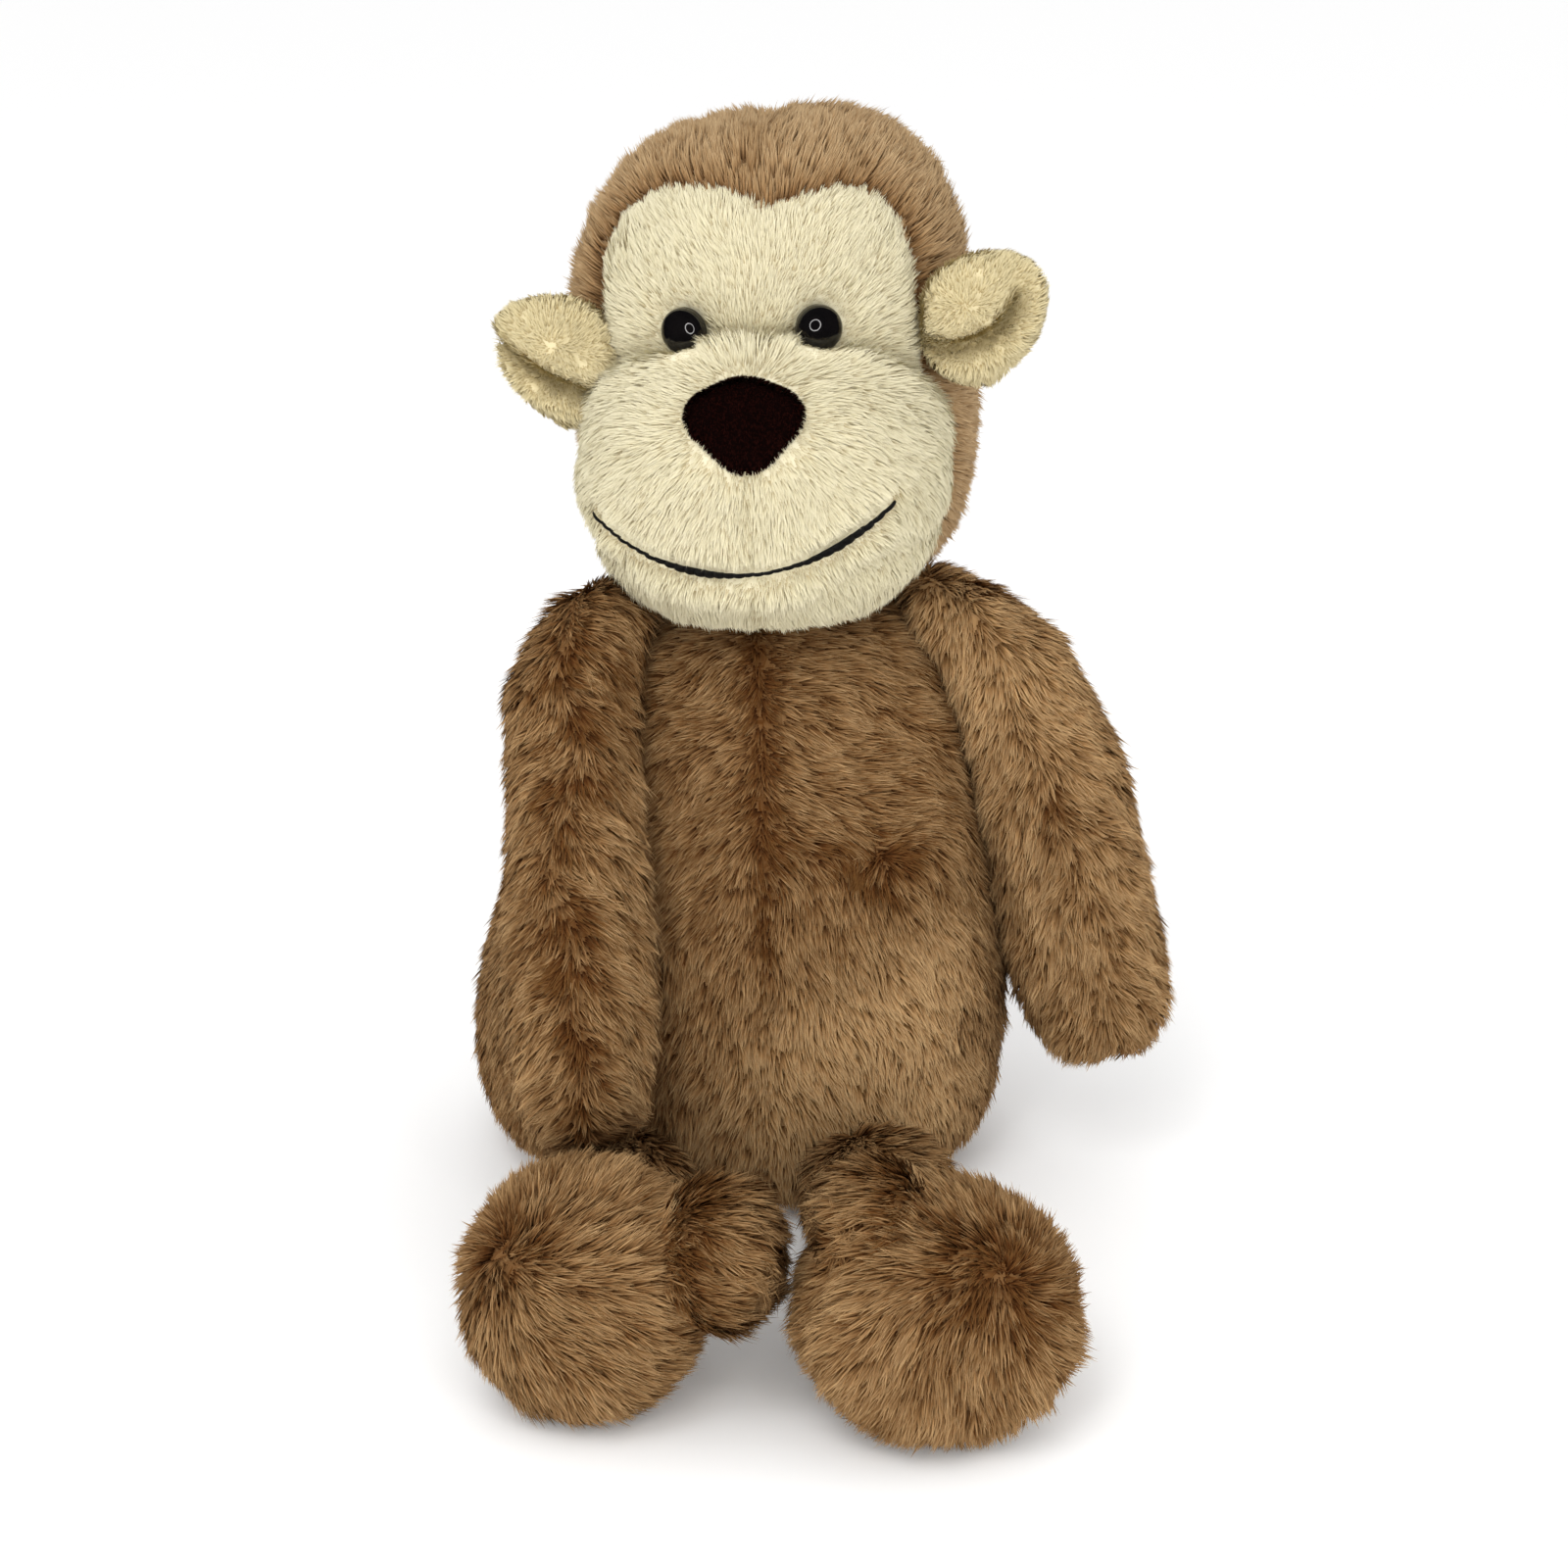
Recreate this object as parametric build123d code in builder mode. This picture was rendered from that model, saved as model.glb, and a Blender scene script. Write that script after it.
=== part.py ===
from build123d import *
from math import cos, radians, sin, sqrt
import os

# Seated plush monkey, about 220 mm tall: sewn fabric panels around separate stuffings.
#
# Frame: millimetres, +Z up, the face looks along -Y, origin at the centre of the flat
# seat base on the surface the toy sits on. "left" is the -X side, "right" the +X side.
# Every soft limb is a closed stuffing inside a fabric skin that is cut into its panels.

os.makedirs("parts", exist_ok=True)

# ---------------------------------------------------------------- driving dimensions
SKIN = 2.0              # fabric backing with the dense foot of its pile
CLEAR = 0.15            # air between a stuffing and the skin around it

TORSO_HEIGHT = 124.5
TORSO_HALF_WIDTH = 52.5
TORSO_HALF_DEPTH = 45.0
SHOULDER_SHIFT = 4.0    # the soft torso leans this far to the right at its top
TORSO_SEAM_TURN = 6.0   # the front seam sits this many degrees right of the middle
PELLET_TOP = 26.0       # height that the pellet bag fills the seat to
BAG_WALL = 1.2

NECK = (8.0, 2.0, 125.8)        # middle of the sewn neck
HEAD_TURN = -6.0                # degrees about Z, towards the left
HEAD_TILT = -2.5                # degrees about Y, right side up
HEAD_HEIGHT = 92.0
HEAD_HALF_WIDTH = 38.0
HEAD_HALF_DEPTH = 37.5
FACE_EDGE_Y = -9.0              # the face panel covers what lies in front of this
FACE_FOOT_Z = 40.0              # and above this height in the head's own frame
MUZZLE_HALF_WIDTH = 35.5
MUZZLE_HALF_DEPTH = 29.0
MUZZLE_Y = -25.0

EYE_SPACING = 25.0
EYE_Z = 59.5
EYE_RADIUS = 4.5
EYE_HEIGHT = 4.0
EYE_RIM = 1.0                   # height of the eye's straight edge under its dome
EYE_PROUD = 0.3                 # from the face cloth to the eye's back
SHANK_RADIUS = 1.5
SHANK_LENGTH = 11.0
SHANK_HOLE_RADIUS = 1.6
WASHER_RADIUS = 6.0
WASHER_THICKNESS = 1.6
WASHER_DEPTH = 4.2              # from the eye's back to the washer's near face
NOSE_WIDTH = 22.0
NOSE_HEIGHT = 17.2
NOSE_MIDDLE_RADIUS = 9.5
NOSE_SIDE_RADIUS = 6.4
NOSE_SIDE_DROP = 1.8            # the side circles' tops lie this far under the nose's
NOSE_TIP_RADIUS = 4.4
NOSE_EDGE_RADIUS = 1.6
NOSE_Z = 39.6                   # where the nose's axis leaves the muzzle's middle
NOSE_RISE = 0.2                 # slope of that axis, upwards and forwards
NOSE_FRONT = 29.6               # from the muzzle's middle to the nose's front
MOUTH_HALF_WIDTH = 27.0
MOUTH_CORNER_Z = {"left": 27.0, "right": 29.4}
MOUTH_LOW_Z = 16.6
THREAD_RADIUS = 1.0
THREAD_ROOM = 0.05
NECK_THREAD_RADIUS = 0.6
NECK_THREAD_RING = 7.0
NECK_THREAD_RAISE = 0.6         # keeps the thread clear of the torso while the head nods

EAR_HALF_WIDTH = 11.5
EAR_HALF_HEIGHT = 13.8
EAR_HALF_THICK = 4.5
EAR_CENTRE = (44.5, -18.0)      # sideways and depth in the head's own frame
EAR_HEIGHTS = {"left": 51.0, "right": 57.5}
EAR_TOE_OUT = 14.0              # degrees that an ear's cup turns outwards

ARM_LENGTH = 106.0
SHOULDER_RADIUS = 11.6
ELBOW_RADIUS = {"left": 11.6, "right": 13.6}
HAND_RADIUS = {"left": 12.8, "right": 14.6}
SHOULDERS = {"left": (-34.0, -28.0, 118.0), "right": (47.5, -7.0, 117.0)}
HANDS = {"left": (-31.5, -60.1, 46.0), "right": (74.0, -12.0, 39.0)}
SHOULDER_SETBACK = 12.0         # from the shoulder centre up to the arm's top end
ARM_PLANE_AZIMUTH = {"left": 230.0, "right": -8.0}     # of the seam's outward normal
ARM_PLANE_SLOPE = {"left": 0.208, "right": 0.212}      # how the seam leans with the belly
ARM_PLANE_REACH = {"left": 49.5, "right": 56.2}        # from the torso's axis at the belly
BELLY_Z = 45.0

HIPS = {"left": (-26.0, -56.0), "right": (27.0, -56.0)}
FEET = {"left": (-28.5, -107.0), "right": (36.0, -115.0)}
LEG_HALF_WIDTH = 15.0
LEG_HALF_HEIGHT = 12.8
LEG_Z = 14.0
FOOT_HALF_WIDTH = {"left": 21.5, "right": 24.5}
FOOT_HALF_HEIGHT = 21.0
FOOT_Z = 22.2
FOOT_HALF_DEPTH = 19.0
TOE_RADIUS = {"left": 10.5, "right": 9.5}
TOES = {"left": (-5.5, -111.0, 31.0), "right": (25.5, -113.0, 37.0)}

TAIL_RADIUS = 7.5
TAIL_ROOT = (0.0, 53.2, 8.2)    # centre of the rounded end that meets the seat
TAIL_BEND_OUT = (30.0, 40.0)    # radius and angle of the first bend
TAIL_BEND_BACK = (27.0, -220.0)
TAIL_MOUTH = 5.5                # the tube is open this far behind its root

SOLE_SHARE = 0.35               # the sole's seam, as a share of the foot's half-depth
TOE_SHORTER = 6.0               # a big toe's half-depth is this much under the foot's
CHIN_SEAM = (0.0, -54.0, 15.0)  # a point of the chin's seam in the head's own frame
CHIN_SEAM_SLOPE = 0.2           # that seam rises backwards

SIDES = {"left": -1.0, "right": 1.0}

# ------------------------------------------------------------------- section tables
# Each row: height along the frame's Z, half-width, half-depth, shift in depth, shift aside.
W, D = TORSO_HALF_WIDTH, TORSO_HALF_DEPTH
TORSO = [
    (0.0, 0.78 * W, 0.78 * D, 0, 0.0),
    (8.0, 0.925 * W, 0.925 * D, 0, 0.0),
    (24.0, W, D, 0, 0.1 * SHOULDER_SHIFT),
    (45.0, W, 0.985 * D, 0, 0.3 * SHOULDER_SHIFT),
    (70.0, 0.92 * W, 0.89 * D, 0, 0.6 * SHOULDER_SHIFT),
    (95.0, 0.8 * W, 0.755 * D, 0, 0.85 * SHOULDER_SHIFT),
    (110.0, 0.71 * W, 0.66 * D, 0, SHOULDER_SHIFT),
    (119.5, 0.57 * W, 0.53 * D, 0, SHOULDER_SHIFT),
    (TORSO_HEIGHT, 0.38 * W, 0.36 * D, 0, SHOULDER_SHIFT),
]
W, D = HEAD_HALF_WIDTH, HEAD_HALF_DEPTH
HEAD = [
    (2.4, 0.5 * W, 0.48 * D, 4, 0),
    (8.0, 0.78 * W, 0.73 * D, 4, 0),
    (22.0, 0.96 * W, 0.935 * D, 3, 0),
    (42.0, W, D, 2, 0),
    (60.0, 0.985 * W, 0.975 * D, 1, 0),
    (76.0, 0.88 * W, 0.87 * D, 1, 0),
    (87.0, 0.63 * W, 0.65 * D, 1, 0),
    (HEAD_HEIGHT, 0.36 * W, 0.38 * D, 1, 0),
]
W, D, Y = MUZZLE_HALF_WIDTH, MUZZLE_HALF_DEPTH, MUZZLE_Y
MUZZLE = [
    (2.6, 0.36 * W, 0.32 * D, Y - 4.5, 0),
    (8.0, 0.7 * W, 0.6 * D, Y - 3, 0),
    (18.0, 0.93 * W, 0.87 * D, Y - 1, 0),
    (30.0, W, D, Y, 0),
    (40.5, 0.92 * W, 0.98 * D, Y, 0),
    (50.0, 0.7 * W, 0.8 * D, Y, 0),
    (56.5, 0.34 * W, 0.46 * D, Y - 1, 0),
]
R = SHOULDER_RADIUS
ARMS = {}
for side, H in HAND_RADIUS.items():
    ARMS[side] = [
        (0.0, 0.45 * R, 0.45 * R, 0, 0),
        (4.0, 0.8 * R, 0.8 * R, 0, 0),
        (14.0, R, R, 0, 0),
        (42.0, ELBOW_RADIUS[side], ELBOW_RADIUS[side], 0, 0),
        (72.0, H, H, 0, 0),
        (90.0, 0.97 * H, 0.97 * H, 0, 0),
        (101.0, 0.74 * H, 0.74 * H, 0, 0),
        (ARM_LENGTH, 0.35 * H, 0.35 * H, 0, 0),
    ]
W, D = LEG_HALF_WIDTH, LEG_HALF_HEIGHT
LEG = [
    (-14.4, 0.3 * W, 0.3 * D, 0, 0),
    (-11.0, 0.68 * W, 0.68 * D, 0, 0),
    (-5.0, 0.94 * W, 0.94 * D, 0, 0),
    (3.0, W, D, 0, 0),
    (20.0, 0.95 * W, D, 0, 0),
    (40.0, W, D, 0, 0),
]
FOOT = [(-1.0, 0.5), (-0.8, 0.78), (-0.4, 0.97), (0.0, 1.0), (0.4, 0.97), (0.8, 0.76), (1.0, 0.46)]
BLOB = [(-1.0, 0.28), (-0.8, 0.62), (-0.4, 0.92), (0.0, 1.0), (0.4, 0.92), (0.8, 0.62), (1.0, 0.28)]


# --------------------------------------------------------------------------- helpers
def rings(frame, table, inset=0.0):
    """Elliptical faces across a frame's Z, drawn in by inset all round and at both ends."""
    faces = []
    for row, (height, half_width, half_depth, back, aside) in enumerate(table):
        ends = {0: inset, len(table) - 1: -inset}
        with BuildSketch(frame.offset(height + ends.get(row, 0.0))) as ring:
            with Locations((aside, back)):
                Ellipse(half_width - inset, half_depth - inset)
        faces.append(ring.sketch)
    return faces


def blob_table(profile, half_length, half_width, half_depth):
    """Section rows of a rounded form from its profile of shares."""
    return [
        (share * half_length, size * half_width, size * half_depth, 0, 0)
        for share, size in profile
    ]


def write(part, name):
    """Label one finished piece and write it as its own STEP file."""
    part.label = name
    export_step(part, f"parts/{name}.step")


# ------------------------------------------------------------------------------ torso
torso_frame = Plane.XY
seam_turn = radians(TORSO_SEAM_TURN)
torso_seam = Plane(origin=(0, 0, 0), z_dir=(cos(seam_turn), sin(seam_turn), 0))
torso_sides = Plane(origin=(0, 0, 0), z_dir=(sin(seam_turn), -cos(seam_turn), 0))

for half, side_keep in (("left", Keep.BOTTOM), ("right", Keep.TOP)):
    for face, face_keep in (("front", Keep.TOP), ("back", Keep.BOTTOM)):
        with BuildPart() as torso_panel:
            loft(rings(torso_frame, TORSO))
            loft(rings(torso_frame, TORSO, SKIN), mode=Mode.SUBTRACT)
            split(bisect_by=Plane.XY.offset(SKIN), keep=Keep.TOP)
            split(bisect_by=torso_seam, keep=side_keep)
            split(bisect_by=torso_sides, keep=face_keep)
        write(torso_panel.part, f"torso_{face}_{half}")

with BuildPart() as seat_base:
    loft(rings(torso_frame, TORSO))
    split(bisect_by=Plane.XY.offset(SKIN), keep=Keep.BOTTOM)
seat_base.part.label = "seat_base"
export_step(seat_base.part, "parts/seat_base.step")

with BuildPart() as torso_stuffing:
    loft(rings(torso_frame, TORSO, SKIN + CLEAR))
    split(bisect_by=Plane.XY.offset(PELLET_TOP + CLEAR), keep=Keep.TOP)
torso_stuffing.part.label = "torso_stuffing"
export_step(torso_stuffing.part, "parts/torso_stuffing.step")

with BuildPart() as pellet_fill:
    loft(rings(torso_frame, TORSO, SKIN + CLEAR + BAG_WALL))
    split(bisect_by=Plane.XY.offset(PELLET_TOP - BAG_WALL), keep=Keep.BOTTOM)
pellet_fill.part.label = "pellet_fill"
export_step(pellet_fill.part, "parts/pellet_fill.step")

with BuildPart() as pellet_bag:
    loft(rings(torso_frame, TORSO, SKIN + CLEAR))
    split(bisect_by=Plane.XY.offset(PELLET_TOP), keep=Keep.BOTTOM)
    add(pellet_fill.part, mode=Mode.SUBTRACT)
pellet_bag.part.label = "pellet_bag"
export_step(pellet_bag.part, "parts/pellet_bag.step")

# ------------------------------------------------------------------------------- neck
with BuildPart(Plane(origin=NECK).offset(NECK_THREAD_RAISE)) as neck_thread:
    Torus(NECK_THREAD_RING, NECK_THREAD_RADIUS)
neck_thread.part.label = "neck_thread"
export_step(neck_thread.part, "parts/neck_thread.step")

# ------------------------------------------------------------------------------- head
head_frame = Plane(Location(NECK, (0, HEAD_TILT, HEAD_TURN)))


def in_head(x, y, z):
    """A point of the head's own frame, in the toy's frame."""
    return head_frame.from_local_coords(Vector(x, y, z))


def head_direction(x, y, z):
    """A direction of the head's own frame, in the toy's frame."""
    return (in_head(x, y, z) - in_head(0, 0, 0)).normalized()


head_middle = Plane(origin=in_head(0, 0, 0), z_dir=head_direction(1, 0, 0))
chin_plane = Plane(origin=in_head(*CHIN_SEAM), z_dir=head_direction(0, -CHIN_SEAM_SLOPE, 1))

# An eye stands on the face where the head's ellipse passes half the eye spacing.
half_width, half_depth, eye_back = HEAD[4][1:4]
eye_side = EYE_SPACING / 2
eye_depth = half_depth * sqrt(1 - (eye_side / half_width) ** 2)
eye_normal = (eye_side / half_width**2, eye_depth / half_depth**2)
eyes = {}
for side, sign in SIDES.items():
    seat = in_head(sign * eye_side, eye_back - eye_depth, EYE_Z)
    outward = head_direction(sign * eye_normal[0], -eye_normal[1], 0.0)
    seat = seat + outward * EYE_PROUD
    eyes[side] = Plane(origin=seat, x_dir=outward, z_dir=head_direction(0, 0, 1))
    with BuildPart() as eye:
        with BuildSketch(eyes[side]):
            with BuildLine():
                Polyline((-SHANK_LENGTH, 0), (-SHANK_LENGTH, SHANK_RADIUS), (0, SHANK_RADIUS),
                         (0, EYE_RADIUS), (EYE_RIM, EYE_RADIUS))
                EllipticalCenterArc(
                    (EYE_RIM, 0), EYE_HEIGHT - EYE_RIM, EYE_RADIUS, start_angle=0, arc_size=90
                )
                Line((EYE_HEIGHT, 0), (-SHANK_LENGTH, 0))
            make_face()
        revolve(axis=Axis(seat, outward))
    write(eye.part, f"eye_{side}")

    washer_face = Plane(origin=seat - outward * WASHER_DEPTH, z_dir=-outward)
    with BuildPart() as eye_washer:
        with BuildSketch(washer_face):
            Circle(WASHER_RADIUS)
            Circle(SHANK_HOLE_RADIUS, mode=Mode.SUBTRACT)
        extrude(amount=WASHER_THICKNESS)
    write(eye_washer.part, f"eye_washer_{side}")


def eye_bars(radius, inward, outward):
    """Round bars along both eyes' axes, from inward of each eye's back to outward of it."""
    bars = []
    for eye_plane in eyes.values():
        bar_plane = Plane(origin=eye_plane.origin, z_dir=eye_plane.x_dir).offset(-inward)
        with BuildPart() as bar:
            with BuildSketch(bar_plane):
                Circle(radius)
            extrude(amount=inward + outward)
        bars.append(bar.part)
    return bars


BEYOND = 1.5
FAR = 120.0
shank_holes = eye_bars(SHANK_HOLE_RADIUS, SHANK_LENGTH + BEYOND, EYE_RIM)
washer_rooms = eye_bars(WASHER_RADIUS + CLEAR, WASHER_DEPTH + WASHER_THICKNESS + CLEAR, 0.0)
eye_rooms = eye_bars(EYE_RADIUS + CLEAR, 0.0, EYE_HEIGHT + BEYOND)
with BuildPart() as face_room:
    with BuildSketch(head_frame.offset(FACE_FOOT_Z)):
        with Locations((0, FACE_EDGE_Y - FAR / 2)):
            Rectangle(FAR, FAR)
    extrude(amount=FAR)

with BuildPart() as face_panel:
    loft(rings(head_frame, HEAD))
    loft(rings(head_frame, HEAD, SKIN), mode=Mode.SUBTRACT)
    loft(rings(head_frame, MUZZLE), mode=Mode.SUBTRACT)
    add(face_room.part, mode=Mode.INTERSECT)
    add(shank_holes, mode=Mode.SUBTRACT)
face_panel.part.label = "face_panel"
export_step(face_panel.part, "parts/face_panel.step")

for side, keep in (("left", Keep.BOTTOM), ("right", Keep.TOP)):
    with BuildPart() as head_panel:
        loft(rings(head_frame, HEAD))
        loft(rings(head_frame, HEAD, SKIN), mode=Mode.SUBTRACT)
        loft(rings(head_frame, MUZZLE), mode=Mode.SUBTRACT)
        add(face_room.part, mode=Mode.SUBTRACT)
        split(bisect_by=head_middle, keep=keep)
    write(head_panel.part, f"head_back_{side}")

# The mouth is one sewn line on the muzzle, an arc from corner to corner.
corner_share = sqrt(1 - (MOUTH_HALF_WIDTH / MUZZLE_HALF_WIDTH) ** 2)
corner_y = MUZZLE_Y - MUZZLE_HALF_DEPTH * corner_share
mouth_row = MUZZLE[2]            # the section at the mouth's lowest point
low_y = mouth_row[3] - mouth_row[2]
mouth_points = [
    in_head(-MOUTH_HALF_WIDTH, corner_y, MOUTH_CORNER_Z["left"]),
    in_head(0, low_y, MOUTH_LOW_Z),
    in_head(MOUTH_HALF_WIDTH, corner_y, MOUTH_CORNER_Z["right"]),
]


def mouth_tube(radius):
    """Round thread of a given radius along the mouth's arc."""
    with BuildPart() as tube:
        with BuildLine() as mouth_line:
            ThreePointArc(*mouth_points)
        with BuildSketch(Plane(origin=mouth_line.line @ 0, z_dir=mouth_line.line % 0)):
            Circle(radius)
        sweep()
    return tube.part


mouth_thread = mouth_tube(THREAD_RADIUS)
mouth_groove = mouth_tube(THREAD_RADIUS + THREAD_ROOM)

with BuildPart() as mouth_stitching:
    add(mouth_thread)
mouth_stitching.part.label = "mouth_stitching"
export_step(mouth_stitching.part, "parts/mouth_stitching.step")

for name, cuts in (
    ("muzzle_left", ((chin_plane, Keep.TOP), (head_middle, Keep.BOTTOM))),
    ("muzzle_right", ((chin_plane, Keep.TOP), (head_middle, Keep.TOP))),
    ("chin_panel", ((chin_plane, Keep.BOTTOM),)),
):
    with BuildPart() as muzzle_panel:
        loft(rings(head_frame, MUZZLE))
        loft(rings(head_frame, MUZZLE, SKIN), mode=Mode.SUBTRACT)
        loft(rings(head_frame, HEAD, -CLEAR), mode=Mode.SUBTRACT)
        for cut, keep in cuts:
            split(bisect_by=cut, keep=keep)
        add(mouth_groove, mode=Mode.SUBTRACT)
        add(eye_rooms, mode=Mode.SUBTRACT)
    write(muzzle_panel.part, name)

with BuildPart() as head_stuffing:
    loft(rings(head_frame, HEAD, SKIN + CLEAR))
    loft(rings(head_frame, MUZZLE, SKIN + CLEAR))
    add(shank_holes, mode=Mode.SUBTRACT)
    add(washer_rooms, mode=Mode.SUBTRACT)
    add(eye_rooms, mode=Mode.SUBTRACT)
head_stuffing.part.label = "head_stuffing"
export_step(head_stuffing.part, "parts/head_stuffing.step")

# The nose is a padded velvet triangle whose back follows the muzzle.
nose_plane = Plane(
    origin=in_head(0, MUZZLE_Y, NOSE_Z),
    x_dir=head_direction(1, 0, 0),
    z_dir=head_direction(0, -1, NOSE_RISE),
)
with BuildPart() as nose:
    with BuildSketch(nose_plane):
        side_centre = NOSE_WIDTH / 2 - NOSE_SIDE_RADIUS
        side_height = NOSE_HEIGHT / 2 - NOSE_SIDE_DROP - NOSE_SIDE_RADIUS
        with Locations((-side_centre, side_height), (side_centre, side_height)):
            Circle(NOSE_SIDE_RADIUS)
        with Locations((0, NOSE_HEIGHT / 2 - NOSE_MIDDLE_RADIUS)):
            Circle(NOSE_MIDDLE_RADIUS)
        with Locations((0, NOSE_TIP_RADIUS - NOSE_HEIGHT / 2)):
            Circle(NOSE_TIP_RADIUS)
        make_hull()
    extrude(amount=NOSE_FRONT)
    nose_front = faces().sort_by(Axis(nose_plane.origin, nose_plane.z_dir))[-1]
    fillet(nose_front.edges(), radius=NOSE_EDGE_RADIUS)
    loft(rings(head_frame, MUZZLE, -CLEAR), mode=Mode.SUBTRACT)
    loft(rings(head_frame, HEAD, -CLEAR), mode=Mode.SUBTRACT)
nose.part.label = "nose"
export_step(nose.part, "parts/nose.step")

# ------------------------------------------------------------------------------- ears
ear_table = blob_table(BLOB, EAR_HALF_THICK, EAR_HALF_WIDTH, EAR_HALF_HEIGHT)
for side, sign in SIDES.items():
    toe_out = radians(EAR_TOE_OUT)
    ear_frame = Plane(
        origin=in_head(sign * EAR_CENTRE[0], EAR_CENTRE[1], EAR_HEIGHTS[side]),
        x_dir=head_direction(sign * cos(toe_out), sin(toe_out), 0),
        z_dir=head_direction(sign * sin(toe_out), -cos(toe_out), 0),
    )
    for face, keep in (("front", Keep.TOP), ("back", Keep.BOTTOM)):
        with BuildPart() as ear_panel:
            loft(rings(ear_frame, ear_table))
            split(bisect_by=ear_frame, keep=keep)
        write(ear_panel.part, f"ear_{face}_{side}")

# ------------------------------------------------------------------------------- arms
for side in SIDES:
    azimuth = radians(ARM_PLANE_AZIMUTH[side])
    aside = Vector(cos(azimuth), sin(azimuth), 0)
    arm_seam = Plane(
        origin=aside * ARM_PLANE_REACH[side] + Vector(0, 0, BELLY_Z),
        z_dir=aside + Vector(0, 0, ARM_PLANE_SLOPE[side]),
    )
    shoulder = Vector(*SHOULDERS[side])
    down_arm = (Vector(*HANDS[side]) - shoulder).normalized()
    arm_frame = Plane(
        origin=shoulder - down_arm * SHOULDER_SETBACK,
        x_dir=arm_seam.z_dir.cross(down_arm),
        z_dir=down_arm,
    )
    arm_middle = Plane(origin=arm_frame.origin, z_dir=down_arm.cross(arm_frame.x_dir))
    outside = Keep.TOP if arm_middle.z_dir.dot(aside) > 0 else Keep.BOTTOM
    inside = Keep.BOTTOM if outside == Keep.TOP else Keep.TOP
    for face, keep in (("outer", outside), ("inner", inside)):
        with BuildPart() as arm_panel:
            loft(rings(arm_frame, ARMS[side]))
            loft(rings(arm_frame, ARMS[side], SKIN), mode=Mode.SUBTRACT)
            split(bisect_by=arm_seam, keep=Keep.TOP)
            split(bisect_by=arm_middle, keep=keep)
        write(arm_panel.part, f"arm_{face}_{side}")
    with BuildPart() as arm_stuffing:
        loft(rings(arm_frame, ARMS[side], SKIN + CLEAR))
        split(bisect_by=arm_seam, keep=Keep.TOP)
    write(arm_stuffing.part, f"arm_stuffing_{side}")

# --------------------------------------------------------------------- legs and feet
for side in SIDES:
    hip = Vector(*HIPS[side], LEG_Z)
    ankle = Vector(*FEET[side], LEG_Z)
    leg_frame = Plane(origin=hip, x_dir=(ankle - hip).cross(Vector(0, 0, 1)), z_dir=ankle - hip)
    foot_frame = Plane(
        origin=Vector(*FEET[side], FOOT_Z), x_dir=leg_frame.x_dir, z_dir=leg_frame.z_dir
    )
    toe_frame = Plane(origin=TOES[side], x_dir=leg_frame.x_dir, z_dir=leg_frame.z_dir)
    foot_table = blob_table(FOOT, FOOT_HALF_DEPTH, FOOT_HALF_WIDTH[side], FOOT_HALF_HEIGHT)
    toe_radius = TOE_RADIUS[side]
    toe_table = blob_table(BLOB, FOOT_HALF_DEPTH - TOE_SHORTER, toe_radius, toe_radius)
    leg_level = Plane.XY.offset(LEG_Z)
    for face, keep in (("upper", Keep.TOP), ("lower", Keep.BOTTOM)):
        with BuildPart() as leg_panel:
            loft(rings(leg_frame, LEG))
            loft(rings(leg_frame, LEG, SKIN), mode=Mode.SUBTRACT)
            loft(rings(foot_frame, foot_table, -CLEAR), mode=Mode.SUBTRACT)
            split(bisect_by=leg_level, keep=keep)
        write(leg_panel.part, f"leg_{face}_{side}")
    with BuildPart() as leg_stuffing:
        loft(rings(leg_frame, LEG, SKIN + CLEAR))
        loft(rings(foot_frame, foot_table, -CLEAR), mode=Mode.SUBTRACT)
    write(leg_stuffing.part, f"leg_stuffing_{side}")

    sole_plane = foot_frame.offset(SOLE_SHARE * FOOT_HALF_DEPTH)
    for face, keep in (("sole", Keep.TOP), ("foot_upper", Keep.BOTTOM)):
        with BuildPart() as foot_panel:
            loft(rings(foot_frame, foot_table))
            loft(rings(foot_frame, foot_table, SKIN), mode=Mode.SUBTRACT)
            split(bisect_by=sole_plane, keep=keep)
        write(foot_panel.part, f"{face}_{side}")
    with BuildPart() as foot_stuffing:
        loft(rings(foot_frame, foot_table, SKIN + CLEAR))
    write(foot_stuffing.part, f"foot_stuffing_{side}")
    with BuildPart() as big_toe:
        loft(rings(toe_frame, toe_table))
        loft(rings(foot_frame, foot_table, -CLEAR), mode=Mode.SUBTRACT)
    write(big_toe.part, f"big_toe_{side}")

# ------------------------------------------------------------------------------- tail


def tail_tube(radius):
    """Round bar of a given radius along the tail's two bends, with domed ends."""
    with BuildPart() as tube:
        with BuildLine() as tail_line:
            first = JernArc(TAIL_ROOT, (0, 1, 0), *TAIL_BEND_OUT)
            JernArc(first @ 1, first % 1, *TAIL_BEND_BACK)
        with BuildSketch(Plane(origin=TAIL_ROOT, z_dir=(0, 1, 0))):
            Circle(radius)
        sweep()
        with Locations(TAIL_ROOT, tail_line.line @ 1):
            Sphere(radius)
        split(bisect_by=Plane(origin=TAIL_ROOT, z_dir=(0, 1, 0)).offset(-TAIL_MOUTH), keep=Keep.TOP)
    return tube.part


tail_outside = tail_tube(TAIL_RADIUS)
tail_lining = tail_tube(TAIL_RADIUS - SKIN)
tail_core = tail_tube(TAIL_RADIUS - SKIN - CLEAR)

with BuildPart() as tail_stuffing:
    add(tail_core)
tail_stuffing.part.label = "tail_stuffing"
export_step(tail_stuffing.part, "parts/tail_stuffing.step")

with BuildPart() as tail_skin:
    add(tail_outside)
    add(tail_lining, mode=Mode.SUBTRACT)
tail_skin.part.label = "tail_skin"
export_step(tail_skin.part, "parts/tail_skin.step")
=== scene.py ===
import math
from collections import namedtuple

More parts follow.
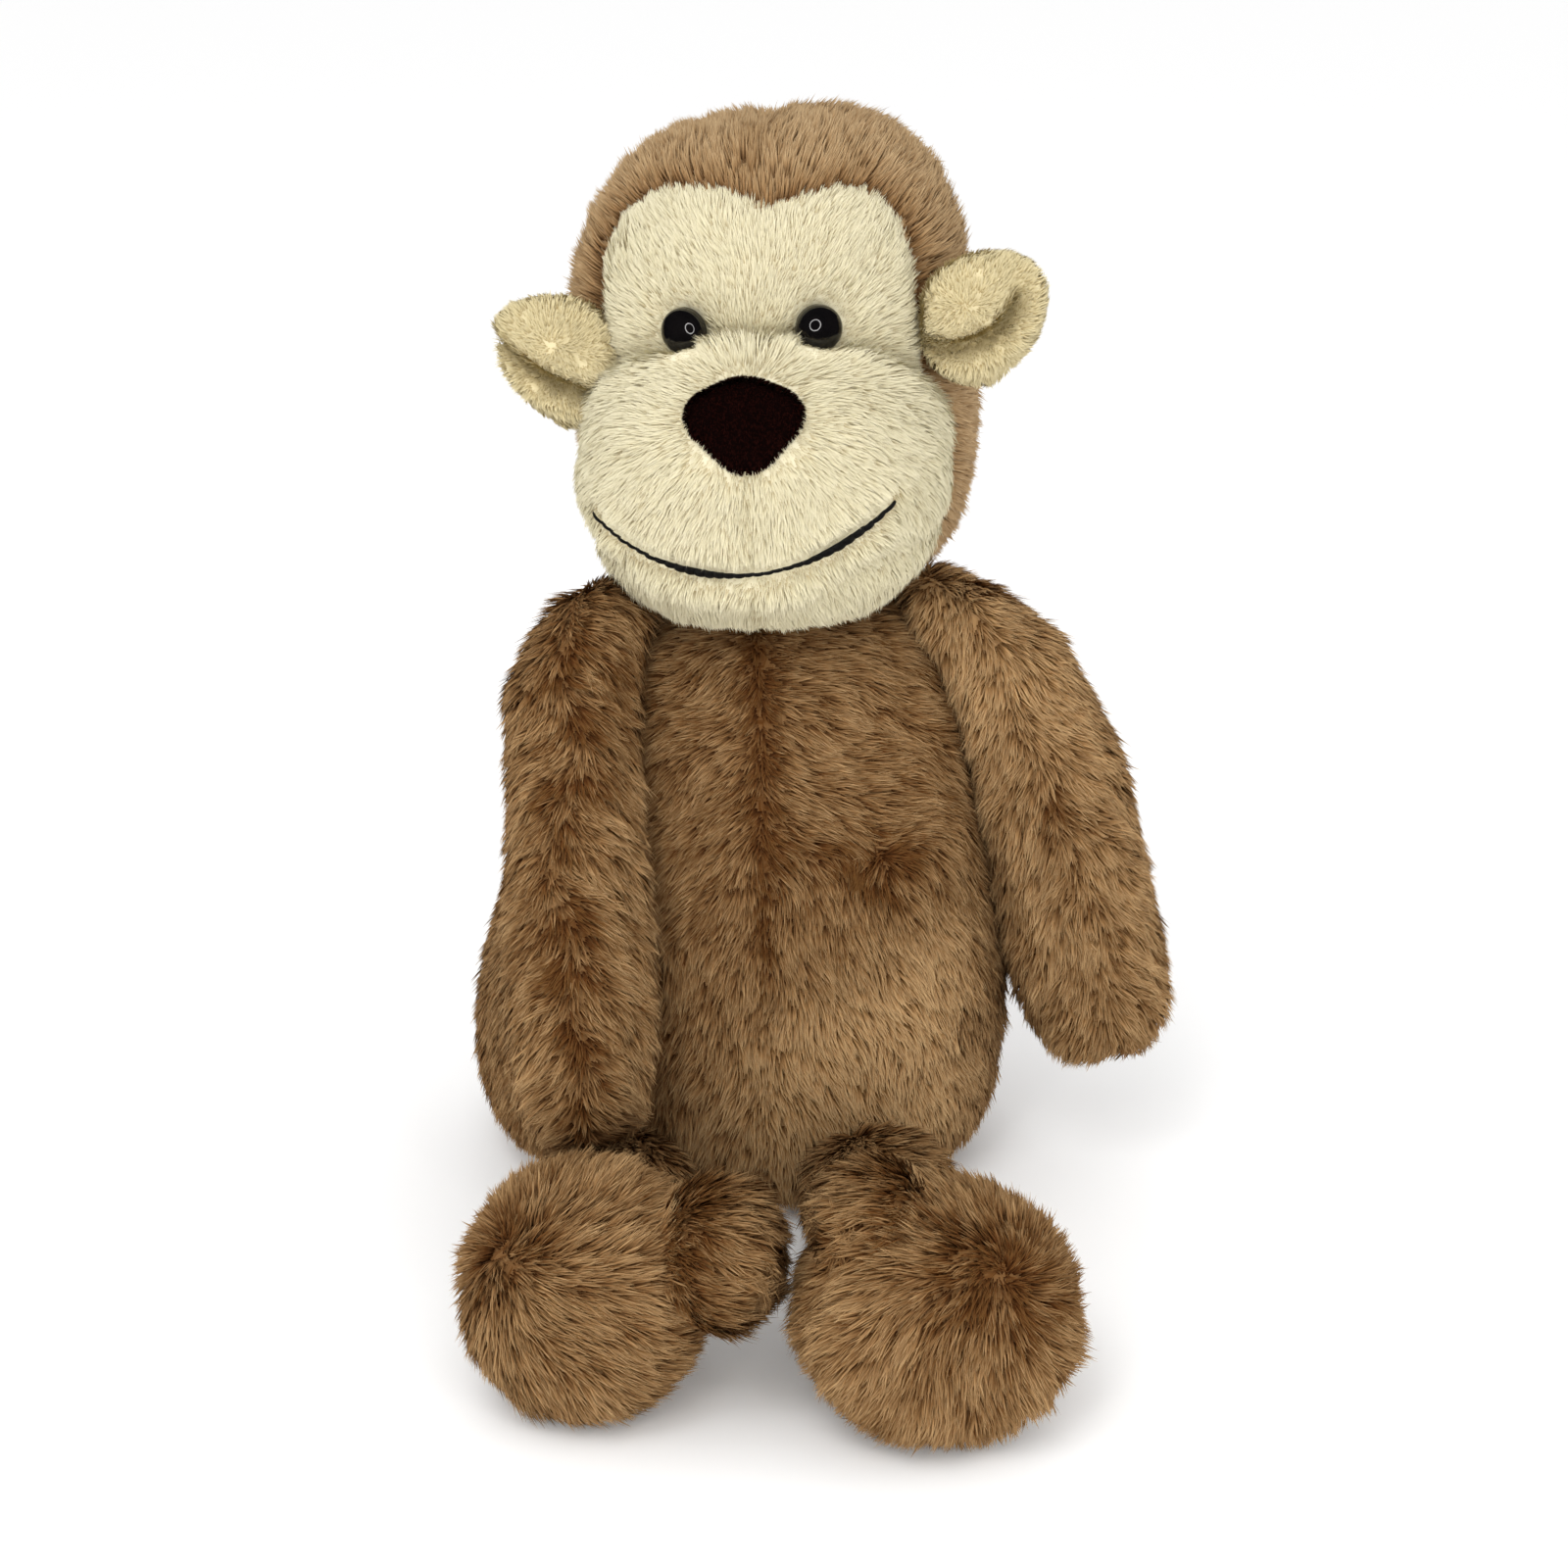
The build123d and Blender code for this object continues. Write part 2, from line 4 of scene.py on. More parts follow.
import bpy
import numpy as np
from mathutils import Matrix, Vector, kdtree
from mathutils.bvhtree import BVHTree


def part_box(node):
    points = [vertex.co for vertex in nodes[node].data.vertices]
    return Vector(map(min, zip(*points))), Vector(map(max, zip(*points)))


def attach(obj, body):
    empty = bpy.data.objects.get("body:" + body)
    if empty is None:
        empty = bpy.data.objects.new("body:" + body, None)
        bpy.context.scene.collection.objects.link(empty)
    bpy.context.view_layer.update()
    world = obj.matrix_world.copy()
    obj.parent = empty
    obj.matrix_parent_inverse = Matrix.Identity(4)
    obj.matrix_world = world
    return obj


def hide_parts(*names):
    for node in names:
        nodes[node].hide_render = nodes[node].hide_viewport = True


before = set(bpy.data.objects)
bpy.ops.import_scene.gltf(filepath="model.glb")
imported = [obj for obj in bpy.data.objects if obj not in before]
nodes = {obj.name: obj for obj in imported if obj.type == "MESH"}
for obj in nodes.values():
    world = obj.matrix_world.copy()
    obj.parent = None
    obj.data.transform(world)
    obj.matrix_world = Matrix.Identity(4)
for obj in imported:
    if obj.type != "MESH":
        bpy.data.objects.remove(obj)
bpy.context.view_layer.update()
scene = bpy.context.scene

# Lengths are in millimetres, and are turned into metres where something is made. The toy looks
# towards negative y, and what is called left is on the side of negative x.
MM = 0.001
SIDES = ("left", "right")
OUTWARD = {"left": -1, "right": 1}      # away from the toy's middle, along x
UP = np.array([0, 0, 1])


# --- camera, floor, light
CAMERA_AIM = Vector((8, 0, 82))
CAMERA_ELEVATION = math.radians(20)
CAMERA_DISTANCE = 650
CAMERA_LENS = 71
FLOOR_SIZE = 6000
FLOOR_GLOW = 0.05
RING_RADIUS = 210               # a ring lamp round the lens, seen as a ring in the eyes
RING_THICKNESS = 18
RING_GLOW = 12
SOFTBOX_PLACE = Vector((-250, -650, 950))
SOFTBOX_AIM = Vector((8, -20, 90))
SOFTBOX_SIZE = 420
SOFTBOX_POWER = 2.5


def srgb(red, green, blue):
    """Linear colour with alpha from 0-255 values as they look on a screen."""
    linear = []
    for value in (red, green, blue):
        share = value / 255
        linear.append(share / 12.92 if share <= 0.04045 else ((share + 0.055) / 1.055) ** 2.4)
    return (*linear, 1)


def set_inputs(node, values):
    """Give some of a node's sockets their constants."""
    for socket, value in values.items():
        node.inputs[socket].default_value = value


def new_material(name, values):
    """A node material whose main shader has these constants."""
    material = bpy.data.materials.new(name)
    material.use_nodes = True
    set_inputs(material.node_tree.nodes["Principled BSDF"], values)
    return material


def add_camera():
    back = Vector((0, -math.cos(CAMERA_ELEVATION), math.sin(CAMERA_ELEVATION)))
    data = bpy.data.cameras.new("camera")
    data.lens = CAMERA_LENS
    data.sensor_width = 36
    camera = bpy.data.objects.new("camera", data)
    camera.location = (CAMERA_AIM + back * CAMERA_DISTANCE) * MM
    camera.rotation_euler = (math.pi / 2 - CAMERA_ELEVATION, 0, 0)
    scene.collection.objects.link(camera)
    scene.camera = camera
    return camera


def add_softbox():
    """A square area lamp above the camera that looks at the toy's middle."""
    data = bpy.data.lights.new("key", "AREA")
    data.shape = "SQUARE"
    data.size = SOFTBOX_SIZE * MM
    data.energy = SOFTBOX_POWER
    lamp = bpy.data.objects.new("key", data)
    lamp.location = SOFTBOX_PLACE * MM
    lamp.rotation_euler = (SOFTBOX_AIM - SOFTBOX_PLACE).to_track_quat("-Z", "Y").to_euler()
    lamp.visible_glossy = False
    scene.collection.objects.link(lamp)


def stage_piece(name, material):
    """Name the mesh that was added last, and give it a material."""
    piece = bpy.context.object
    piece.name = name
    piece.data.materials.append(material)
    return piece


def add_ring_lamp(camera):
    """A glowing ring round the lens that no camera sees directly."""
    bpy.ops.mesh.primitive_torus_add(
        major_radius=RING_RADIUS * MM, minor_radius=RING_THICKNESS * MM, minor_segments=8,
        major_segments=64, location=camera.location, rotation=camera.rotation_euler,
    )
    glow = new_material("ring_glow", {
        "Base Color": (0, 0, 0, 1), "Emission Color": (1, 0.98, 0.95, 1),
        "Emission Strength": RING_GLOW,
    })
    stage_piece("ring_lamp", glow).visible_camera = False


def add_floor():
    bpy.ops.mesh.primitive_plane_add(size=FLOOR_SIZE * MM)
    pale = new_material("pale_floor", {
        "Base Color": (0.97, 0.97, 0.97, 1), "Roughness": 0.85, "Specular IOR Level": 0.1,
        "Emission Color": (1, 1, 1, 1), "Emission Strength": FLOOR_GLOW,
    })
    stage_piece("floor", pale).visible_glossy = False


def add_sky():
    """Even white light from everywhere, left out of reflections."""
    world = bpy.data.worlds.new("studio")
    scene.world = world
    world.use_nodes = True
    set_inputs(world.node_tree.nodes["Background"], {"Color": (1, 1, 1, 1), "Strength": 1})
    world.cycles_visibility.glossy = False


scene.view_settings.view_transform = "Standard"
add_ring_lamp(add_camera())
add_floor()
add_sky()
add_softbox()


# --- small numpy tools
WANDER_WAVES = 7


def unit(vectors):
    """The same directions with a length of one."""
    return vectors / np.maximum(np.linalg.norm(vectors, axis=-1, keepdims=True), 1e-9)


def vectors(x, y, z):
    """Rows of three numbers from arrays or single numbers."""
    return np.stack(np.broadcast_arrays(x, y, z), axis=-1).astype(float)


def rise(values, low, high):
    """0 below low, 1 above high, smooth in between."""
    share = np.clip((values - low) / (high - low), 0, 1)
    return share * share * (3 - 2 * share)


def near(offset, width, other_offset=0, other_width=1):
    """1 where the offset is 0, fading to 0 at about twice the width, along one axis or two."""
    return np.exp(-((offset / width) ** 2 + (other_offset / other_width) ** 2))


def bump_at(points, centre, radius):
    """1 at a point, fading to 0 at about twice the radius."""
    return np.exp(-(((points - np.array(centre)) ** 2).sum(axis=1)) / radius**2)


def wander(points, size, seed):
    """Smooth noise of about -1 to 1 with features of a given size, and its uphill direction."""
    rng = np.random.default_rng(seed)
    height = np.zeros(len(points))
    slope = np.zeros((len(points), 3))
    for _ in range(WANDER_WAVES):
        direction = unit(rng.normal(size=3))
        pitch = size * rng.uniform(0.6, 1.5)
        phase = points @ direction * (2 * math.pi / pitch) + rng.uniform(0, 2 * math.pi)
        height += np.sin(phase)
        slope += np.cos(phase)[:, None] * direction
    scale = math.sqrt(WANDER_WAVES)
    return height / scale, slope / scale


def spots(points, size, seed):
    """0 to 1, in blotches of a given size."""
    return rise(wander(points, size, seed)[0], -0.5, 1)


# --- small mesh tools
def read_rows(items, field, kind=float):
    """A field that holds three numbers, read from every item of a mesh."""
    values = np.empty(len(items) * 3, dtype=kind)
    items.foreach_get(field, values)
    return values.reshape(-1, 3)


def mesh_arrays(mesh):
    """A mesh's points in millimetres and its triangles."""
    mesh.calc_loop_triangles()
    return read_rows(mesh.vertices, "co") / MM, read_rows(mesh.loop_triangles, "vertices", np.int32)


def node_arrays(names):
    """Points and triangles of several nodes together."""
    all_points, all_triangles, start = [], [], 0
    for name in names:
        points, triangles = mesh_arrays(nodes[name].data)
        all_points.append(points)
        all_triangles.append(triangles + start)
        start += len(points)
    return np.concatenate(all_points), np.concatenate(all_triangles)


def tree_of(points, triangles):
    return BVHTree.FromPolygons(points.tolist(), triangles.tolist())


def move_points(mesh, points):
    """Put a mesh's points at new places, given in millimetres."""
    mesh.vertices.foreach_set("co", (points * MM).ravel())
    mesh.update()


def mesh_from(name, points, faces_by_size):
    """A mesh from points in millimetres and a list of face arrays, one for each corner count."""
    mesh = bpy.data.meshes.new(name)
    mesh.vertices.add(len(points))
    mesh.vertices.foreach_set("co", (points * MM).ravel())
    corners = np.concatenate([faces.ravel() for faces in faces_by_size])
    sizes = np.concatenate([np.full(len(faces), faces.shape[1]) for faces in faces_by_size])
    mesh.loops.add(len(corners))
    mesh.loops.foreach_set("vertex_index", corners.astype(np.int32))
    mesh.polygons.add(len(sizes))
    starts = np.concatenate([[0], np.cumsum(sizes)[:-1]])
    mesh.polygons.foreach_set("loop_start", starts.astype(np.int32))
    mesh.polygons.foreach_set("use_smooth", np.ones(len(sizes), dtype=bool))
    mesh.update(calc_edges=True)
    return mesh


def add_object(name, mesh):
    obj = bpy.data.objects.new(name, mesh)
    scene.collection.objects.link(obj)
    return obj


def add_piece(mesh, material, body, node):
    """Put a visible piece in the scene, for a CAD node whose place it takes."""
    piece = add_object(mesh.name, mesh)
    mesh.materials.append(material)
    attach(piece, body)
    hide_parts(node)
    return piece


def bake_modifiers(obj):
    """Apply an object's modifiers to its mesh."""
    depsgraph = bpy.context.evaluated_depsgraph_get()
    mesh = bpy.data.meshes.new_from_object(obj.evaluated_get(depsgraph))
    obj.modifiers.clear()
    obj.data = mesh


def even_form(name, node_names, voxel, rounds):
    """Several nodes joined in one even mesh, which is smoothed a number of rounds."""
    points, triangles = node_arrays(node_names)
    form = add_object(name, mesh_from(name, points, [triangles]))
    remesh = form.modifiers.new("even", "REMESH")
    remesh.mode = "VOXEL"
    remesh.voxel_size = voxel * MM
    form.modifiers.new("soften", "SMOOTH").iterations = rounds
    bake_modifiers(form)
    return form


# --- the head's own frame
NECK = np.array([8, 2, 125.8])
HEAD_LEAN = Matrix.Rotation(math.radians(-2.5), 3, "Y")
HEAD_TURN = Matrix.Rotation(math.radians(-6), 3, "Z")
HEAD_AXES = np.array(HEAD_LEAN @ HEAD_TURN)


def to_head(points):
    """Points of the toy in the head's own frame."""
    return (points - NECK) @ HEAD_AXES


def from_head(x, y, z):
    """Directions of the head's own frame in the toy's frame."""
    return vectors(x, y, z) @ HEAD_AXES.T


# The face's features in the head's own frame. The smile's right end sits higher by its tilt.
EYE_X, EYE_Z = 12.5, 59.5
NOSE_Z = 45
NOSE_HALF_WIDTH, NOSE_HALF_HEIGHT = 11.3, 8.8
MOUTH_CENTRE_X, MOUTH_HALF = -2, 27.5
MOUTH_LOW, MOUTH_RISE, MOUTH_TILT = 16.6, 11, 1.2
LIPS_Y, LIPS_Z = -22, 30        # the lips swell away from here


def mouth_height(x):
    """Height of the sewn smile in the head's frame."""
    along = (x - MOUTH_CENTRE_X) / MOUTH_HALF
    return MOUTH_LOW + MOUTH_RISE * along**2 + MOUTH_TILT * along


def in_mouth(x, inner, outer):
    """1 between the ends of the smile, fading to 0 past them."""
    return 1 - rise(np.abs(x - MOUTH_CENTRE_X), MOUTH_HALF + inner, MOUTH_HALF + outer)


# --- soft bodies
# What a soft body is stuffed with, the panels round it, the size of its mesh's faces, and how far
# the backing's face stands outside the stuffing.
SoftBody = namedtuple("SoftBody", "stuffing panels voxel grow")
BODIES = {
    "torso": SoftBody(
        ["torso_stuffing", "pellet_bag", "pellet_fill"],
        ["torso_front_left", "torso_front_right", "torso_back_left", "torso_back_right",
         "seat_base"],
        4, 2.9,
    ),
    "head": SoftBody(
        ["head_stuffing"],
        ["face_panel", "head_back_left", "head_back_right", "muzzle_left", "muzzle_right",
         "chin_panel"],
        2.4, 2.5,
    ),
}
PAIRED_BODIES = {
    "ear": SoftBody(["ear_front", "ear_back"], ["ear_front", "ear_back"], 1.5, 0.2),
    "arm": SoftBody(["arm_stuffing"], ["arm_outer", "arm_inner"], 3.2, 2.9),
    "leg": SoftBody(
        ["leg_stuffing", "foot_stuffing", "big_toe"],
        ["leg_upper", "leg_lower", "foot_upper", "sole", "big_toe"],
        3, 2.3,
    ),
}
for kind, pair in PAIRED_BODIES.items():
    for side in SIDES:
        stuffing, panels = ([f"{name}_{side}" for name in names] for names in pair[:2])
        BODIES[f"{kind}_{side}"] = pair._replace(stuffing=stuffing, panels=panels)
BODIES["tail"] = SoftBody(["tail_stuffing"], ["tail_skin"], 2, 2.4)
FIRST_MUZZLE = BODIES["head"].panels.index("muzzle_left")   # the muzzle's panels come last

# An ear's fold is an arc: its centre, outwards and up from the ear's middle, and its radius. It
# fades out round the height end. The ear is drawn inwards, its upper outer corner outwards.
Ear = namedtuple("Ear", "arc end inward corner")
EARS = {
    "ear_left": Ear((-10.5, 17, 22.8), 7, 4.6, 4),
    "ear_right": Ear((-6, 6, 10.7), 4.5, 0.6, 1.8),
}
FOLD_OFFSET = 4.2               # the roll lies inside the fold's crease and the rim outside it
ROLL_WIDTH, CREASE_WIDTH, RIM_WIDTH = 3.2, 1.5, 2.4
ROLL_HEIGHT, CREASE_DEPTH, RIM_HEIGHT = 2.4, 5, 1.8
ROOT_INWARD, ROOT_AHEAD = 3, 1.5

# The arms' axes, from the shoulder to the hand, and how their stuffed shape is bent.
SHOULDERS = {"left": np.array([-34, -28, 118]), "right": np.array([47.5, -7, 117])}
HANDS = {"left": np.array([-31.5, -60.1, 46]), "right": np.array([74, -12, 39])}
SHOULDER_LIFT = {"left": 2, "right": 2.5}
SHOULDER_SLOPE = 0.45
SHOULDER_DROP = (-4.5, 3)       # the least and the most that the shoulder's cloth comes down
SHOULDER_INWARD = 4
ARM_BOW = {"left": 0, "right": 4.6}
BOW_MIDDLE, BOW_REACH = 30, 30

SEAT_SAG = 4.6
SEAT_SAG_HEIGHT, SEAT_SAG_REACH = 24, 26

# Ridges and grooves of the head: height, place and width.
LOWER_LIP = (1.5, 4.5, 3.2)     # below the smile
UPPER_LIP = (0.7, -4, 3)
MOUTH_GROOVE = (1, 0, 1.6)
MUZZLE_EDGE = (2, 3.5, 3)       # inside the muzzle's upper edge
MUZZLE_FOLD = (1, 0, 2)
CROWN_SHEAR = 0.07              # how much higher the crown is for each millimetre to the right

SEAM_GROOVE = (1.1, 0, 2.6)
SEAM_HALF = 2.5                 # half the width of the strip that is pinned while the cloth swells
NO_SEAM = 99                    # a distance that stands for a piece with no seam
FLOOR_GAP = 0.6
PUFF_CAP = 1.6                  # the most that the cloth may swell
PUFF_PRESSURE = 4
PUFF_FRAMES = 20


def ridge(offsets, height, place, width):
    return height * near(offsets - place, width)


def ear_field(name, points):
    """An ear's own axes, how far points are out, up and ahead, and its roll, crease and rim."""
    front, _ = node_arrays([name.replace("ear_", "ear_front_")])
    back, _ = node_arrays([name.replace("ear_", "ear_back_")])
    facing = unit(front.mean(axis=0) - back.mean(axis=0))
    upward = unit(from_head(0, 0, 1))
    outward = unit(np.cross(upward, facing)) * (-1 if name.endswith("left") else 1)
    rel = points - (front.mean(axis=0) + back.mean(axis=0)) / 2
    out, up, ahead = rel @ outward, rel @ upward, rel @ facing
    arc_out, arc_up, radius = EARS[name].arc
    inside = radius - np.hypot(out - arc_out, up - arc_up)
    fade = 1 - rise(up, EARS[name].end - 4, EARS[name].end + 3)
    roll = near(inside - FOLD_OFFSET, ROLL_WIDTH) * (0.4 + 0.6 * fade)
    crease = near(inside, CREASE_WIDTH) * fade
    rim = near(inside + FOLD_OFFSET, RIM_WIDTH)
    return (facing, upward, outward), (out, up, ahead), (roll, crease, rim)


def at_ear_root(out):
    return rise(-out, -2, 9)


def ear_inward(name, out):
    """How far an ear is drawn to the head, which is more at its root."""
    return EARS[name].inward + ROOT_INWARD * at_ear_root(out)


def shape_ear(name, points):
    """Fold the front of an ear along its arc, and draw the ear to the head."""
    (facing, _, outward), (out, up, ahead), (roll, crease, rim) = ear_field(name, points)
    push = ROLL_HEIGHT * roll + RIM_HEIGHT * rim - CREASE_DEPTH * crease
    push = push * rise(ahead, -0.5, 2)
    narrow = 0.3 * np.maximum(-up - 1, 0) * rise(out, -4, 6)
    corner = EARS[name].corner * rise(up, -2, 9) * rise(out, -2, 8)
    inward = ear_inward(name, out) + narrow - corner
    ahead_move = push + ROOT_AHEAD * at_ear_root(out)
    return points + facing * ahead_move[:, None] - outward * inward[:, None]


def shape_arm(side, points):
    """Round the shoulder down from the neck, and bow the right arm outwards."""
    down = unit(HANDS[side] - SHOULDERS[side])
    aside = np.array([OUTWARD[side], 0, 0])
    outer = unit(aside - down * (aside @ down))
    rel = points - SHOULDERS[side]
    along, across = rel @ down, rel @ outer
    top = rise(-along, -14, 8)
    drop = np.clip(SHOULDER_SLOPE * across - SHOULDER_LIFT[side], *SHOULDER_DROP) * top
    inward = SHOULDER_INWARD * rise(-along, -6, 8)
    bow = ridge(along, ARM_BOW[side], BOW_MIDDLE, BOW_REACH)
    return points + down * drop[:, None] + outer * (bow - inward)[:, None]


def shape_torso(points):
    """Let the seat's left side sag outwards over the floor."""
    x, y, z = points.T
    side = rise(-x, 18, 46) * rise(y, -38, -8)
    sag = SEAT_SAG * side * near(z - SEAT_SAG_HEIGHT, SEAT_SAG_REACH)
    return points + unit(vectors(x, y, 0)) * sag[:, None]


def shape_head(points):
    """Fold the lips: a groove along the smile with a roll on either side, and tilt the crown."""
    x, y, z = to_head(points).T
    below = mouth_height(x) - z
    front = rise(-y, 20, 34) * in_mouth(x, -3, 3)
    push = ridge(below, *LOWER_LIP) + ridge(below, *UPPER_LIP) - ridge(below, *MOUTH_GROOVE)
    away = unit(vectors(x, y - LIPS_Y, 0.4 * (z - LIPS_Z)))
    shear = CROWN_SHEAR * x * rise(z, 60, 80)
    moved = points + from_head(*away.T) * (push * front)[:, None]
    return moved + from_head(0, 0, 1) * shear[:, None]


def blank_body(name):
    """The stuffing of one soft body as one even, soft mesh, grown to the backing's face."""
    body = BODIES[name]
    form = even_form(f"{name}_form", body.stuffing, body.voxel, rounds=3)
    points, _ = mesh_arrays(form.data)
    points = points + read_rows(form.data.vertices, "normal") * body.grow
    if name.startswith("arm"):
        points = shape_arm(name.removeprefix("arm_"), points)
    elif name == "torso":
        points = shape_torso(points)
    move_points(form.data, points)
    return form


def panel_of(centres, name):
    """For each point, the index of the panel that it lies on."""
    panels = BODIES[name].panels
    distances = np.empty((len(panels), len(centres)))
    for row, panel in enumerate(panels):
        tree = tree_of(*node_arrays([panel]))
        distances[row] = [tree.find_nearest(centre)[3] for centre in centres.tolist()]
    choice = distances.argmin(axis=0)
    return face_shape(to_head(centres), choice, panels) if name == "head" else choice


# The face's heart outline in the head's own frame: two lobes with a dip between them.
HEART_MIDDLE = 3.5
LOBE_X, LOBE_TOP, LOBE_TILT = 14, 84.6, -0.1
LOBE_WIDTHS = (20.1, 13.1)
LOBE_ROUND = 19
LOBE_DIP = 3.4
HEART_LOW, HEART_BACK = 36, 4


def face_shape(local, choice, panels):
    """Give the face its heart outline instead of the plain line between its panels."""
    x, y, z = local.T
    aside = np.abs(x - HEART_MIDDLE)
    width = np.where(x < HEART_MIDDLE, *LOBE_WIDTHS)
    inner = LOBE_DIP * (1 - aside / LOBE_X) ** 2
    outer = LOBE_ROUND * (1 - np.sqrt(np.clip(1 - ((aside - LOBE_X) / width) ** 2, 0, 1)))
    top = LOBE_TOP + LOBE_TILT * x - np.where(aside < LOBE_X, inner, outer)
    heart = (aside < LOBE_X + width) & (z < top) & (z > HEART_LOW) & (y < HEART_BACK)
    side = np.where(x < 0, panels.index("head_back_left"), panels.index("head_back_right"))
    cloth = np.where(heart, panels.index("face_panel"), side)
    return np.where(choice >= FIRST_MUZZLE, choice, cloth)


def seam_points(points, triangles, choice):
    """The points that panels of two kinds share."""
    lowest = np.full(len(points), len(triangles))
    highest = np.full(len(points), -1)
    for corner in range(3):
        np.minimum.at(lowest, triangles[:, corner], choice)
        np.maximum.at(highest, triangles[:, corner], choice)
    return np.nonzero(lowest != highest)[0]


def seam_distance(points, seams):
    """How far each point is from the nearest seam point."""
    if not len(seams):
        return np.full(len(points), NO_SEAM)
    tree = kdtree.KDTree(len(seams))
    for place in seams:
        tree.insert(points[place], int(place))
    tree.balance()
    return np.array([tree.find(point)[2] for point in points.tolist()])


def add_puff(name, form):
    """Set up one body's cloth simulation, which is pinned along its seams."""
    points, triangles = mesh_arrays(form.data)
    choice = panel_of(points[triangles].mean(axis=1), name)
    away = seam_distance(points, seam_points(points, triangles, choice))
    group = form.vertex_groups.new(name="seams")
    for index in np.nonzero(away < SEAM_HALF)[0].tolist():
        group.add([index], 1 - away[index] / SEAM_HALF, "REPLACE")
    cloth = form.modifiers.new("puff", "CLOTH")
    cloth.settings.use_pressure = True
    cloth.settings.uniform_pressure_force = PUFF_PRESSURE
    cloth.settings.effector_weights.gravity = 0
    cloth.settings.vertex_group_mass = "seams"
    cloth.settings.quality = 5
    cloth.collision_settings.use_collision = False
    cloth.point_cache.frame_start = 1
    cloth.point_cache.frame_end = PUFF_FRAMES
    return points


def puff(forms):
    """Swell each body a little between its pinned seams with one short cloth simulation."""
    rest = {name: add_puff(name, form) for name, form in forms.items()}
    for step in range(1, PUFF_FRAMES + 1):
        scene.frame_set(step)
    for name, form in forms.items():
        bake_modifiers(form)
        move = mesh_arrays(form.data)[0] - rest[name]
        size = np.linalg.norm(move, axis=1, keepdims=True)
        share = np.minimum(1, PUFF_CAP / np.maximum(size, 1e-6))
        move_points(form.data, rest[name] + move * share)
    scene.frame_set(1)


class Skin:
    """A soft piece's surface in arrays. seam holds each point's distance from a seam."""

    def __init__(self, form):
        self.points, self.triangles = mesh_arrays(form.data)
        self.normals = read_rows(form.data.vertices, "normal")
        self.seam = np.full(len(self.points), NO_SEAM)

    def centres(self):
        return self.points[self.triangles].mean(axis=1)


class SewnSkin(Skin):
    """The finished backing of one soft body. choice holds each triangle's panel."""

    def __init__(self, name, form):
        form.modifiers.new("fine", "SUBSURF").levels = 1
        bake_modifiers(form)
        super().__init__(form)
        self.choice = panel_of(self.centres(), name)
        self.seam = self.distance_to_edge(self.choice)
        self.points = self.points - self.normals * ridge(self.seam, *SEAM_GROOVE)[:, None]
        if name == "head":
            self.raise_muzzle()
            self.points = shape_head(self.points)
        if name in EARS:
            self.points = shape_ear(name, self.points)
        self.points[:, 2] = np.maximum(self.points[:, 2], FLOOR_GAP)
        move_points(form.data, self.points)
        self.normals = read_rows(form.data.vertices, "normal")
        bpy.data.objects.remove(form)

    def distance_to_edge(self, choice):
        """How far each point is from where triangles of different choices meet."""
        return seam_distance(self.points, seam_points(self.points, self.triangles, choice))

    def raise_muzzle(self):
        """Stand the muzzle's upper edge over the face, with a fold outside it."""
        muzzle = (self.choice >= FIRST_MUZZLE).astype(int)
        edge = self.distance_to_edge(muzzle)
        on_muzzle = np.zeros(len(self.points), dtype=bool)
        on_muzzle[self.triangles[muzzle == 1].ravel()] = True
        high = rise(to_head(self.points)[:, 2], 30, 40)
        push = ridge(edge, *MUZZLE_EDGE) * on_muzzle - ridge(edge, *MUZZLE_FOLD)
        self.points = self.points + self.normals * (push * high)[:, None]


forms = {name: blank_body(name) for name in BODIES}
puff(forms)
skins = {name: SewnSkin(name, form) for name, form in forms.items()}


# --- materials
STRIPES_U, STRIPES_V = 90, 3    # how fine the pile's streaks are across and along a fibre
STRIPE_DEPTH = 0.7


def add_ramp(tree, value, *colours):
    """Two or three colours that lie evenly between the values 0 and 1."""
    ramp = tree.nodes.new("ShaderNodeValToRGB")
    elements = ramp.color_ramp.elements
    elements[0].color, elements[1].color = colours[0], colours[-1]
    if len(colours) == 3:
        elements.new(0.5).color = colours[1]
    tree.links.new(value, ramp.inputs[0])
    return ramp.outputs[0]


def add_streaks(tree, uv):
    """Noise that is stretched along the fibres."""
    stretch = tree.nodes.new("ShaderNodeVectorMath")
    stretch.operation = "MULTIPLY"
    stretch.inputs[1].default_value = (STRIPES_U, STRIPES_V, 1)
    tree.links.new(uv, stretch.inputs[0])
    noise = tree.nodes.new("ShaderNodeTexNoise")
    set_inputs(noise, {"Scale": 1, "Detail": 1})
    tree.links.new(stretch.outputs[0], noise.inputs["Vector"])
    return noise.outputs[0]


